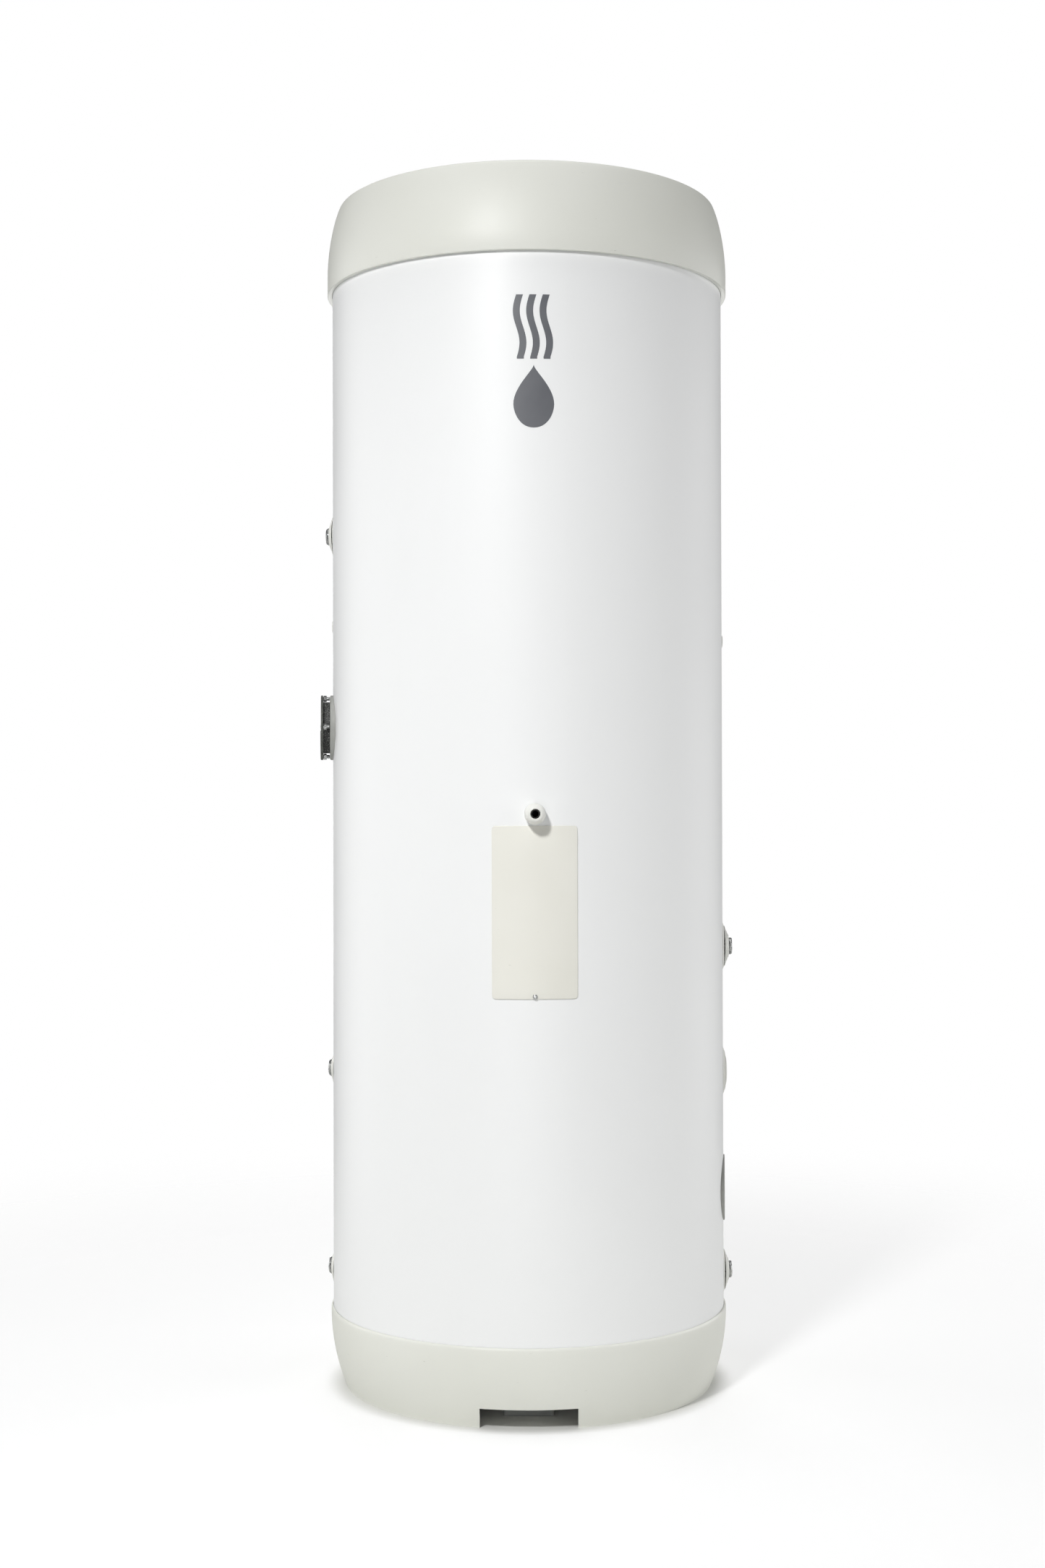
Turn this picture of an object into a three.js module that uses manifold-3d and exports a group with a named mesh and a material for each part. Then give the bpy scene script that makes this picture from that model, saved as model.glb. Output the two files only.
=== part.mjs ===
// Floor-standing tank water heater of the 300-litre class: an enamelled steel tank in foam, inside a
// lacquered sheet jacket with moulded end caps, pipe nipples on both sides and an electric heater behind
// a small front cover. Millimetres, +Z up. The origin is on the floor, on the tank's axis. The service
// side faces -Y, and +X is to the right of someone who looks at it. Azimuths are degrees from -Y to +X.
import * as THREE from "three";
import { mergeVertices } from "three/addons/utils/BufferGeometryUtils.js";
import Module from "manifold-3d";

// Driving dimensions
const GAP = 0.3; // clearance between pieces that touch
const AROUND = 36; // facets of everything concentric with the tank
const FINE = 20; // facets of pipes and small turned pieces

const JACKET_RADIUS = 290;
const JACKET_SHEET = 0.8;
const JACKET_BOTTOM = 100;
const JACKET_TOP = 1640;

const CAP_RADIUS = 297.3;
const CAP_RIM = 1609;
const CAP_STRAIGHT_TOP = 1638;
const CAP_WALL = 3;
const TOTAL_HEIGHT = 1740;

const BASE_RADIUS = 293.3;
const BASE_SOLE_RADIUS = 271.6;
const BASE_TOP = 115;
const BASE_SHELF = 30; // underside of the pan that holds the foam
const BASE_WALL = 2.6;
const BASE_TURN = -1.9; // azimuth of the cut-out in the skirt, and of the front foot
const CUT_OUT_WIDTH = 135;
const CUT_OUT_HEIGHT = 29;

const TANK_RADIUS = 250;
const TANK_WALL = 2.5;
const TANK_BOTTOM = 133;
const TANK_TOP = 1560;
const HEAD_HEIGHT = 76;
const HEAD_WALL = 3;
const FOAM_SPLIT_LOW = 118; // joints between the three foam mouldings
const FOAM_SPLIT_HIGH = TANK_TOP;

const FOOT_RADIUS = 189; // distance of each foot from the tank's axis
const FOOT_WIDTH = 72;
const FOOT_DEPTH = 40;
const FOOT_SOLE = 0.5;
const FOOT_TOP = 25.5;
const LEG_RADIUS = 17;
const LEG_BOTTOM = 27;
const FOOT_STUD_RADIUS = 6;
const FOOT_AZIMUTHS = { front: BASE_TURN, right: BASE_TURN + 120, left: BASE_TURN - 120 };

const COVER_WIDTH = 117;
const COVER_BOTTOM = 588.4;
const COVER_TOP = 824.4;
const COVER_CORNER = 5;
const COVER_SHEET = 1.3;
const COVER_SCREW_HEIGHT = 591.9;
const WINDOW_WIDTH = 100;
const WINDOW_BOTTOM = 600;
const WINDOW_TOP = 815;
const RECESS_TOP = 866;

const GLAND_HEIGHT = 840.5;
const GLAND_THREAD_RADIUS = 10;
const GLAND_NUT_RADIUS = 14.7;
const GLAND_REACH = 28.5;

const NIPPLE_RADIUS = 13.2; // 3/4 inch pipe
const NIPPLE_BORE = 10;
const NIPPLE_REACH = 14.5;
const NIPPLE_ROOT = -46;
const ROSETTE_RADIUS = 35;
const PORTS = {
  hot_outlet: { azimuth: -98, height: 1259 },
  circulation: { azimuth: -101, height: 455 },
  cold_inlet: { azimuth: -101, height: 156 },
  coil_flow: { azimuth: 88, height: 641.5 },
  coil_return: { azimuth: 91, height: 156 },
};
const BLANK_PORT = { azimuth: 88, height: 456 };
const SENSORS = {
  left: { azimuth: -92, height: 1120 },
  right: { azimuth: 88, height: 1096.5 },
};
const SENSOR_PLUG_RADIUS = 9;
const SENSOR_POCKET_RADIUS = 5;

const FLANGE_RADIUS = 48;
const SIDE_FLANGE = { azimuth: -87, height: 968 };
const RIGHT_FLANGE = { azimuth: 83, height: 286 };
const FLANGE_BOLT_CIRCLE = 43;

const HEATER_HEIGHT = 672;
const HEATER_THREAD_RADIUS = 24.2;
const HEATER_BOSS_RADIUS = 34;
const HEATER_LENGTH = 340;
const COIL_RADIUS = 190;
const COIL_PORT_RADIUS = 243; // where the coil's ends meet the nipples
const COIL_TUBE_RADIUS = 14;
const COIL_TURNS = 5;

// Finishes
const FINISHES = {
  lacquer: { color: 0xf0f2f1, roughness: 0.38, metalness: 0 },
  cap: { color: 0xe4e5de, roughness: 0.5, metalness: 0 },
  cover: { color: 0xe5e4db, roughness: 0.42, metalness: 0 },
  whitePlastic: { color: 0xefefec, roughness: 0.45, metalness: 0 },
  greyPlastic: { color: 0x9b9d99, roughness: 0.55, metalness: 0 },
  darkPlate: { color: 0x4b4d49, roughness: 0.6, metalness: 0.3 },
  rubber: { color: 0x20211f, roughness: 0.8, metalness: 0 },
  foam: { color: 0xd9cf9a, roughness: 0.95, metalness: 0 },
  enamel: { color: 0x2f4a5c, roughness: 0.3, metalness: 0 },
  steel: { color: 0xb9bab8, roughness: 0.35, metalness: 1 },
  brass: { color: 0xb9924b, roughness: 0.35, metalness: 1 },
  magnesium: { color: 0xa9aaa8, roughness: 0.6, metalness: 1 },
  black: { color: 0x232425, roughness: 0.5, metalness: 0 },
  red: { color: 0xb5261e, roughness: 0.4, metalness: 0 },
};

const wasm = await Module();
wasm.setup();
const heater = new THREE.Group();

// ---- Shapes ----

// A closed geometry, placed by a matrix, as a solid that can be cut and joined.
function solidOf(geometry, matrix = new THREE.Matrix4()) {
  const flat = geometry.index ? geometry.toNonIndexed() : geometry;
  const bare = new THREE.BufferGeometry();
  bare.setAttribute("position", flat.getAttribute("position").clone());
  bare.applyMatrix4(matrix);
  const merged = mergeVertices(bare, 1e-3);
  const vertProperties = merged.attributes.position.array;
  const triVerts = new Uint32Array(merged.index.array);
  return new wasm.Manifold(new wasm.Mesh({ numProp: 3, vertProperties, triVerts }));
}

// A solid back as a geometry with one normal on each facet.
function geometryOf(solid) {
  const { vertProperties, triVerts } = solid.getMesh();
  const indexed = new THREE.BufferGeometry();
  indexed.setAttribute("position", new THREE.BufferAttribute(vertProperties, 3));
  indexed.setIndex(new THREE.BufferAttribute(triVerts, 1));
  const flat = indexed.toNonIndexed();
  flat.computeVertexNormals();
  return flat;
}

// A profile of [radius, height] pairs turned round +Z, from the axis round to the axis.
function turned(profile, around = FINE) {
  const points = profile.map(([radius, height]) => new THREE.Vector2(radius, height));
  return new THREE.LatheGeometry(points, around).rotateX(Math.PI / 2);
}

// The same for a profile that closes on itself away from the axis.
function turnedRing(profile, around = FINE) {
  return turned([...profile, profile[0]], around);
}

// A round bar along +Z from one height to another.
function bar(radius, from, to, around = FINE) {
  return turned([[0, from], [radius, from], [radius, to], [0, to]], around);
}

// A pipe along +Z.
function pipe(inner, outer, from, to, around = FINE) {
  return turnedRing([[inner, from], [outer, from], [outer, to], [inner, to]], around);
}

// A box given by the ranges it fills.
function block([x0, x1], [y0, y1], [z0, z1]) {
  const box = new THREE.BoxGeometry(x1 - x0, y1 - y0, z1 - z0);
  return box.translate((x0 + x1) / 2, (y0 + y1) / 2, (z0 + z1) / 2);
}

// A regular hexagonal bar along +Z, measured across its corners.
function hexagon(radius, from, to) {
  return bar(radius, from, to, 6);
}

// A rectangle with round corners, centred on its middle.
function roundedRectangle(width, height, corner) {
  const x = width / 2;
  const y = height / 2;
  const shape = new THREE.Shape();
  shape.moveTo(x - corner, -y);
  shape.absarc(x - corner, -y + corner, corner, -Math.PI / 2, 0);
  shape.absarc(x - corner, y - corner, corner, 0, Math.PI / 2);
  shape.absarc(-x + corner, y - corner, corner, Math.PI / 2, Math.PI);
  shape.absarc(-x + corner, -y + corner, corner, Math.PI, Math.PI * 1.5);
  return shape;
}

// The turn from the front to an azimuth.
function turnedTo(azimuth) {
  return new THREE.Matrix4().makeRotationZ(THREE.MathUtils.degToRad(azimuth));
}

// A place on the jacket, or on another radius: local +Z points outwards and local +Y up.
function outward({ azimuth, height }, radius = JACKET_RADIUS) {
  const turn = turnedTo(azimuth);
  const shift = new THREE.Matrix4().makeTranslation(0, -radius, height);
  const tip = new THREE.Matrix4().makeRotationX(Math.PI / 2);
  return turn.multiply(shift).multiply(tip);
}

// A hole along the outward direction of a place.
function drill(radius, place, from, to, around = FINE) {
  return solidOf(bar(radius, from, to, around), outward(place));
}

// Everything inside a radius, for seating a piece on the round jacket or the tank.
function core(radius) {
  return solidOf(bar(radius, -10, TOTAL_HEIGHT + 10, AROUND));
}

// A piece made in a place's own frame, cut where it meets a round wall of that radius.
function saddled(geometry, place, wallRadius) {
  const world = solidOf(geometry, outward(place)).subtract(core(wallRadius + GAP));
  return geometryOf(world);
}

function add(name, geometry, finish, parent = heater) {
  const mesh = new THREE.Mesh(geometry, new THREE.MeshStandardMaterial(FINISHES[finish]));
  mesh.name = name;
  parent.add(mesh);
}

// A group standing on the jacket at a place.
function station(place, radius = JACKET_RADIUS) {
  const group = new THREE.Group();
  group.applyMatrix4(outward(place, radius));
  heater.add(group);
  return group;
}

// Points of a curve in the [radius, height] plane.
function along(curve, steps) {
  return curve.getPoints(steps).map((point) => [point.x, point.y]);
}

function bezier(...points) {
  return new THREE.CubicBezierCurve(...points.map(([r, z]) => new THREE.Vector2(r, z)));
}

// The quarter ellipse of a pressed tank head, from its rim to its crown.
function headCurve(radius, rim, height, steps = 4) {
  const points = [];
  for (let i = 0; i <= steps; i += 1) {
    const angle = (Math.PI / 2) * (i / steps);
    points.push([radius * Math.cos(angle), rim + height * Math.sin(angle)]);
  }
  points[steps][0] = 0;
  return points;
}

// ---- Casing ----

// The rolled sheet jacket, with its service window and a hole behind every fitting.
function makeJacket() {
  let sheet = solidOf(
    pipe(JACKET_RADIUS - JACKET_SHEET, JACKET_RADIUS, JACKET_BOTTOM, JACKET_TOP, AROUND),
  );
  const half = WINDOW_WIDTH / 2;
  sheet = sheet.subtract(
    solidOf(block([-half, half], [-JACKET_RADIUS - 10, -200], [WINDOW_BOTTOM, WINDOW_TOP])),
  );
  for (const port of Object.values(PORTS)) {
    sheet = sheet.subtract(drill(20, port, -20, 10));
  }
  for (const sensor of Object.values(SENSORS)) {
    sheet = sheet.subtract(drill(7.4, sensor, -20, 10));
  }
  const gland = { azimuth: 0, height: GLAND_HEIGHT };
  const screw = { azimuth: 0, height: COVER_SCREW_HEIGHT };
  sheet = sheet.subtract(drill(GLAND_THREAD_RADIUS + GAP, gland, -20, 10));
  sheet = sheet.subtract(drill(2.6, screw, -20, 10, 12));
  add("outer_jacket", geometryOf(sheet), "lacquer");
}

// A cover profile closes the rolled sheet's seam down the back.
function makeSeamStrip() {
  const back = JACKET_RADIUS + GAP;
  const strip = block([-12, 12], [back, back + 1.2], [BASE_TOP + 2, CAP_RIM - 2]);
  add("jacket_seam_strip", strip, "lacquer");
}

// The moulded lid: a straight rim, a gently drawn-in side and a shallow crown. It seats on the jacket's
// top edge by an inner step. The profile runs from the rim over the top and back down the inside.
function makeTopCap() {
  const side = bezier(
    [CAP_RADIUS, CAP_STRAIGHT_TOP],
    [CAP_RADIUS - 0.3, 1672],
    [CAP_RADIUS - 7.3, 1712],
    [CAP_RADIUS - 16.8, TOTAL_HEIGHT - 6],
  );
  const profile = [
    [CAP_RADIUS - CAP_WALL, CAP_RIM],
    [CAP_RADIUS, CAP_RIM],
    ...along(side, 4),
    [CAP_RADIUS - 19.5, TOTAL_HEIGHT - 2.6],
    [CAP_RADIUS - 30, TOTAL_HEIGHT - 1.4],
    [0, TOTAL_HEIGHT],
    [0, TOTAL_HEIGHT - CAP_WALL],
    [CAP_RADIUS - 33, TOTAL_HEIGHT - CAP_WALL - 1.4],
    [CAP_RADIUS - 20.5, TOTAL_HEIGHT - 12],
    [CAP_RADIUS - 11.5, 1690],
    [CAP_RADIUS - 11.5, JACKET_TOP + GAP],
    [CAP_RADIUS - CAP_WALL, JACKET_TOP + GAP],
  ];
  add("top_cap", turnedRing(profile, AROUND), "cap");
}

// The moulded base: a skirt that narrows to the floor, a pan that holds the foam, a ledge under the
// jacket, holes for the tank's three legs and a low cut-out at the front.
function makeBaseCap() {
  const side = bezier([BASE_SOLE_RADIUS, 0], [282, 25], [BASE_RADIUS, 62], [BASE_RADIUS, 108]);
  const ledge = JACKET_BOTTOM - GAP;
  const shelfTop = BASE_SHELF + 3;
  const profile = [
    ...along(side, 4),
    [BASE_RADIUS - 0.1, BASE_TOP],
    [JACKET_RADIUS + 0.6, BASE_TOP],
    [JACKET_RADIUS + 0.6, ledge],
    [JACKET_RADIUS - 3.6, ledge],
    [JACKET_RADIUS - 3.8, 62],
    [279.5, shelfTop],
    [0, shelfTop],
    [0, BASE_SHELF],
    [279, BASE_SHELF],
    [BASE_SOLE_RADIUS - BASE_WALL, 0],
  ];
  const front = BASE_SOLE_RADIUS + 30;
  const cutOut = block(
    [-CUT_OUT_WIDTH / 2, CUT_OUT_WIDTH / 2],
    [-front, -FOOT_RADIUS],
    [-1, CUT_OUT_HEIGHT],
  );
  let base = solidOf(turnedRing(profile, AROUND)).subtract(solidOf(cutOut, turnedTo(BASE_TURN)));
  for (const azimuth of Object.values(FOOT_AZIMUTHS)) {
    const hole = bar(LEG_RADIUS + 2, 0, 60).translate(0, -FOOT_RADIUS, 0);
    base = base.subtract(solidOf(hole, turnedTo(azimuth)));
  }
  add("base_cap", geometryOf(base), "cap");
}

// The curved service cover and the screw at its foot.
function makeAccessCover() {
  const inner = JACKET_RADIUS + GAP;
  const height = COVER_TOP - COVER_BOTTOM;
  const outline = roundedRectangle(COVER_WIDTH, height, COVER_CORNER);
  const prism = new THREE.ExtrudeGeometry(outline, {
    depth: 80,
    bevelEnabled: false,
    curveSegments: 4,
  });
  const middle = { azimuth: 0, height: (COVER_TOP + COVER_BOTTOM) / 2 };
  const screw = { azimuth: 0, height: COVER_SCREW_HEIGHT };
  const sheet = solidOf(pipe(inner, inner + COVER_SHEET, COVER_BOTTOM - 5, COVER_TOP + 5, AROUND))
    .intersect(solidOf(prism, outward(middle, JACKET_RADIUS - 40)))
    .subtract(drill(2.2, screw, -20, 10, 12));
  add("access_cover", geometryOf(sheet), "cover");

  const seat = GAP + COVER_SHEET + GAP;
  const fastener = turned(
    [[0, -7], [1.2, -7], [1.9, -5.5], [1.9, seat], [3.5, seat], [3.4, seat + 1], [2, seat + 2.1],
      [0, seat + 2.2]],
    12,
  );
  add("access_cover_screw", fastener, "steel", station(screw));
}

// The cable gland over the cover: a threaded body through the jacket, a locknut behind it, a rubber
// seal and a domed clamping nut.
function makeCableGland() {
  const gland = station({ azimuth: 0, height: GLAND_HEIGHT });
  const bore = GLAND_THREAD_RADIUS - 2.8;
  const collarTop = 6;
  const body = solidOf(hexagon(GLAND_NUT_RADIUS, GAP, collarTop))
    .add(solidOf(bar(GLAND_THREAD_RADIUS, -14, 16)))
    .subtract(solidOf(bar(bore, -20, 20)));
  add("cable_gland_body", geometryOf(body), "whitePlastic", gland);

  const back = -JACKET_SHEET - 1 - GAP;
  const locknut = solidOf(hexagon(GLAND_NUT_RADIUS, back - 5, back))
    .subtract(solidOf(bar(GLAND_THREAD_RADIUS + GAP, -20, 20)));
  add("cable_gland_locknut", geometryOf(locknut), "whitePlastic", gland);

  const clear = GLAND_THREAD_RADIUS + GAP;
  const mouth = 6.65;
  const nut = turnedRing([
    [clear, collarTop + GAP],
    [GLAND_NUT_RADIUS, collarTop + GAP],
    [GLAND_NUT_RADIUS, 16],
    [13.6, 22],
    [10.6, 26.8],
    [8.4, GLAND_REACH],
    [mouth, GLAND_REACH],
    [mouth, 19],
    [clear, 17],
  ]);
  add("cable_gland_nut", nut, "whitePlastic", gland);

  const seal = pipe(4.5, mouth - GAP, 4, GLAND_REACH - 0.6);
  add("cable_gland_seal", seal, "rubber", gland);
}

// ---- Fittings on the jacket ----

// The cover rosette of a pipe nipple: a flat ring seated on the jacket, and a low cone round the pipe.
function rosetteProfile() {
  const bore = NIPPLE_RADIUS + 0.5;
  return [
    [bore, -4],
    ...rosetteRim(),
    [ROSETTE_RADIUS - 5, 4],
    [23, 6.2],
    [17, 8.6],
    [bore + 0.7, 9.4],
    [bore, 9.4],
  ];
}

// The ring's edge, from under the jacket's surface to the foot of what stands on it.
function rosetteRim() {
  return [
    [ROSETTE_RADIUS, -4],
    [ROSETTE_RADIUS, 0.6],
    [ROSETTE_RADIUS - 3.4, 2.2],
    [ROSETTE_RADIUS - 5, 2.5],
  ];
}

function makePorts() {
  for (const [name, place] of Object.entries(PORTS)) {
    const nipple = pipe(NIPPLE_BORE, NIPPLE_RADIUS, NIPPLE_ROOT, NIPPLE_REACH, 16);
    add(`${name}_nipple`, nipple, "steel", station(place));
    const rosette = saddled(turnedRing(rosetteProfile()), place, JACKET_RADIUS);
    add(`${name}_rosette`, rosette, "whitePlastic");
  }
  const blank = turned([[0, -4], ...rosetteRim(), [20, 5.2], [0, 6.2]]);
  add("blank_port_cap", saddled(blank, BLANK_PORT, JACKET_RADIUS), "whitePlastic");
}

// Push-in plugs over the two sensor pockets, and the blind pockets that reach into the water.
function makeSensors() {
  for (const [side, place] of Object.entries(SENSORS)) {
    const spot = station(place);
    const plug = turned([[0, -6], [6.6, -6], [7, -4], [7, GAP], [SENSOR_PLUG_RADIUS, GAP],
      [SENSOR_PLUG_RADIUS - 0.6, 1.7], [0, 2]], 16);
    add(`${side}_sensor_plug`, plug, "whitePlastic", spot);
    const r = SENSOR_POCKET_RADIUS;
    const pocket = turned([[0, -190], [r, -190], [r, -8], [r - 1.4, -8], [r - 1.4, -186], [0, -186]],
      12);
    add(`${side}_sensor_pocket`, pocket, "brass", spot);
  }
}

// The bolted flange on the left and the plain one on the right.
function makeFlanges() {
  const ring = turnedRing([[30, -6], [FLANGE_RADIUS, -6], [FLANGE_RADIUS, 3.4],
    [FLANGE_RADIUS - 1.1, 4.5], [30, 4.5]], 28);
  add("side_flange_ring", saddled(ring, SIDE_FLANGE, JACKET_RADIUS), "greyPlastic");

  const side = station(SIDE_FLANGE);
  add("side_flange_gasket", pipe(20, 38, 4.8, 14, 28), "rubber", side);
  let plate = solidOf(bar(FLANGE_RADIUS, 14.3, 18.3, 28));
  for (let i = 0; i < 4; i += 1) {
    const angle = (Math.PI / 2) * i;
    const x = FLANGE_BOLT_CIRCLE * Math.cos(angle);
    const y = FLANGE_BOLT_CIRCLE * Math.sin(angle);
    plate = plate.subtract(solidOf(bar(3.3, 10, 30, 12).translate(x, y, 0)));
    const bolt = solidOf(bar(2.9, 4.8, 18, 12)).add(solidOf(hexagon(4.6, 9.3, 13.9)));
    add(`side_flange_bolt_${i + 1}`, geometryOf(bolt).translate(x, y, 0), "steel", side);
  }
  add("side_flange_plate", geometryOf(plate), "darkPlate", side);

  const cover = turned([[0, -6], [FLANGE_RADIUS, -6], [FLANGE_RADIUS, 1.2], [FLANGE_RADIUS - 1.1, 2],
    [0, 2]], 28);
  add("right_flange_cover", saddled(cover, RIGHT_FLANGE, JACKET_RADIUS), "greyPlastic");
}

// ---- Insulation ----

function makeInsulation() {
  const inner = TANK_RADIUS + 0.4;
  const outer = JACKET_RADIUS - JACKET_SHEET - GAP;
  let side = solidOf(pipe(inner, outer, FOAM_SPLIT_LOW, FOAM_SPLIT_HIGH, AROUND));
  const half = WINDOW_WIDTH / 2;
  side = side.subtract(
    solidOf(block([-half, half], [-JACKET_RADIUS - 10, -200], [WINDOW_BOTTOM, RECESS_TOP])),
  );
  for (const port of Object.values(PORTS)) {
    side = side.subtract(drill(NIPPLE_RADIUS + 0.8, port, -60, 10));
  }
  for (const sensor of Object.values(SENSORS)) {
    side = side.subtract(drill(8, sensor, -60, 10, 16));
  }
  side = side.subtract(drill(3.2, { azimuth: 0, height: COVER_SCREW_HEIGHT }, -12, 10, 8));
  add("insulation_side", geometryOf(side), "foam");

  const crown = TANK_TOP + GAP;
  const roof = TOTAL_HEIGHT - CAP_WALL - GAP;
  const shoulder = CAP_RADIUS - 12.5;
  const plugPocket = 27;
  const dome = headCurve(TANK_RADIUS + 0.6, crown, HEAD_HEIGHT + 0.8);
  dome.pop();
  const top = [
    ...dome.slice(0, 1),
    [outer, crown],
    [outer, JACKET_TOP - 1],
    [shoulder, JACKET_TOP - 1],
    [shoulder, 1689],
    [CAP_RADIUS - 22, roof - 11.5],
    [CAP_RADIUS - 34, roof - 2.4],
    [0, roof - 1],
    [0, 1657],
    [plugPocket, 1657],
    [plugPocket, crown + HEAD_HEIGHT + 0.6],
    ...dome.slice(1).reverse(),
  ];
  add("insulation_top", turnedRing(top, AROUND), "foam");

  const bowl = headCurve(TANK_RADIUS + 0.6, TANK_BOTTOM, -HEAD_HEIGHT - 0.8);
  const low = [
    ...bowl.reverse().filter(([, z]) => z < FOAM_SPLIT_LOW - 2),
    [246, FOAM_SPLIT_LOW - GAP],
    [JACKET_RADIUS - 4.2, FOAM_SPLIT_LOW - GAP],
    [JACKET_RADIUS - 4.4, 62],
    [278.6, BASE_SHELF + 3 + GAP],
    [0, BASE_SHELF + 3 + GAP],
  ];
  let base = solidOf(turned(low.reverse(), AROUND));
  for (const azimuth of Object.values(FOOT_AZIMUTHS)) {
    const hole = bar(LEG_RADIUS + GAP, 0, 120).translate(0, -FOOT_RADIUS, 0);
    base = base.subtract(solidOf(hole, turnedTo(azimuth)));
  }
  add("insulation_base", geometryOf(base), "foam");
}

// ---- Tank ----

function makeTank() {
  let barrel = solidOf(pipe(TANK_RADIUS - TANK_WALL, TANK_RADIUS, TANK_BOTTOM, TANK_TOP, AROUND));
  for (const port of Object.values(PORTS)) {
    barrel = barrel.subtract(drill(NIPPLE_RADIUS + 0.4, port, -60, 0, 16));
  }
  for (const sensor of Object.values(SENSORS)) {
    barrel = barrel.subtract(drill(SENSOR_POCKET_RADIUS + 0.4, sensor, -60, 0, 12));
  }
  const socket = { azimuth: 0, height: HEATER_HEIGHT };
  barrel = barrel.subtract(drill(HEATER_THREAD_RADIUS + 0.4, socket, -60, 0));
  add("tank_barrel", geometryOf(barrel), "enamel");

  const rim = TANK_TOP + GAP;
  const anodeHole = 17.4;
  const outside = headCurve(TANK_RADIUS, rim, HEAD_HEIGHT);
  const inside = headCurve(TANK_RADIUS - HEAD_WALL, rim, HEAD_HEIGHT - HEAD_WALL);
  outside[outside.length - 1][0] = anodeHole;
  inside[inside.length - 1][0] = anodeHole;
  add("tank_top_head", turnedRing([...outside, ...inside.reverse()], AROUND), "enamel");

  const floorRim = TANK_BOTTOM - GAP;
  const outer = headCurve(TANK_RADIUS, floorRim, -HEAD_HEIGHT).reverse();
  const inner = headCurve(TANK_RADIUS - HEAD_WALL, floorRim, -HEAD_HEIGHT + HEAD_WALL);
  add("tank_bottom_head", turned([...outer, ...inner], AROUND), "enamel");
}

// Three welded legs, and in each the stud of a block-shaped levelling foot.
function makeFeet() {
  const headShape = headCurve(TANK_RADIUS + GAP, TANK_BOTTOM - GAP, -HEAD_HEIGHT - 2 * GAP).reverse();
  const head = solidOf(turned([...headShape, [0, TANK_BOTTOM + 40]], AROUND));
  for (const [side, azimuth] of Object.entries(FOOT_AZIMUTHS)) {
    const turn = turnedTo(azimuth);
    const bore = FOOT_STUD_RADIUS + 0.4;
    const leg = turned([[0, 76], [bore, 76], [bore, LEG_BOTTOM], [LEG_RADIUS, LEG_BOTTOM],
      [LEG_RADIUS, 100], [0, 100]]).translate(0, -FOOT_RADIUS, 0);
    add(`tank_leg_${side}`, geometryOf(solidOf(leg, turn).subtract(head)), "steel");

    const wide = roundedRectangle(FOOT_WIDTH, FOOT_DEPTH, 4);
    const pad = new THREE.ExtrudeGeometry(wide, {
      depth: FOOT_TOP - FOOT_SOLE,
      bevelEnabled: false,
      curveSegments: 3,
    }).translate(0, -FOOT_RADIUS, FOOT_SOLE);
    const stud = bar(FOOT_STUD_RADIUS, FOOT_TOP - 5, 72, 12).translate(0, -FOOT_RADIUS, 0);
    add(`levelling_foot_${side}`, geometryOf(solidOf(pad, turn).add(solidOf(stud, turn))),
      "greyPlastic");
  }
}

// ---- Inside the water ----

// A coil that comes straight in from one port, winds down and goes straight out through the other.
class CoilCurve extends THREE.Curve {
  getPoint(t, target = new THREE.Vector3()) {
    const { coil_flow: flow, coil_return: back } = PORTS;
    const lead = 0.01; // share of the length taken by each straight end
    const turn = 360 * COIL_TURNS - (back.azimuth - flow.azimuth);
    const wound = THREE.MathUtils.clamp((t - lead) / (1 - 2 * lead), 0, 1);
    const azimuth = THREE.MathUtils.degToRad(flow.azimuth - turn * wound);
    const height = THREE.MathUtils.lerp(flow.height, back.height, wound);
    const inward = Math.min(1, t / lead, (1 - t) / lead);
    const radius = THREE.MathUtils.lerp(COIL_PORT_RADIUS, COIL_RADIUS, inward);
    return target.set(radius * Math.sin(azimuth), -radius * Math.cos(azimuth), height);
  }
}

function tubeAlong(curve, radius, steps, sides, boreRadius = 0) {
  const section = new THREE.Shape();
  section.absarc(0, 0, radius, 0, Math.PI * 2);
  if (boreRadius > 0) {
    section.holes.push(new THREE.Path().absarc(0, 0, boreRadius, 0, Math.PI * 2));
  }
  return new THREE.ExtrudeGeometry(section, {
    extrudePath: curve,
    steps,
    curveSegments: sides / 2,
    bevelEnabled: false,
  });
}

// A smooth bend through points given as [distance from the axis, height], in the plane of an azimuth.
function bentPipe(points, azimuth, radius, bore, steps) {
  const turn = THREE.MathUtils.degToRad(azimuth);
  const path = points.map(
    ([r, z]) => new THREE.Vector3(r * Math.sin(turn), -r * Math.cos(turn), z),
  );
  return tubeAlong(new THREE.CatmullRomCurve3(path), radius, steps, 8, bore);
}

function makeInnerPipes() {
  add("heat_exchanger_coil", tubeAlong(new CoilCurve(), COIL_TUBE_RADIUS, 84, 6), "enamel");
  const cold = PORTS.cold_inlet;
  const elbow = [[242, cold.height], [230, cold.height], [222, cold.height - 8], [222, 120]];
  add("cold_inlet_elbow", bentPipe(elbow, cold.azimuth, 10, 8, 8), "steel");
  const hot = PORTS.hot_outlet;
  const riser = [[242, hot.height], [230, hot.height], [222, hot.height + 8],
    [222, hot.height + 150], [205, 1575]];
  add("hot_outlet_riser", bentPipe(riser, hot.azimuth, 10, 8, 12), "steel");
  const crown = TANK_TOP + GAP + HEAD_HEIGHT + GAP;
  add("anode_rod", bar(16.5, 840, crown, 12), "magnesium");
  add("anode_plug", hexagon(24, crown + GAP, crown + 13), "brass");
}

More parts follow.
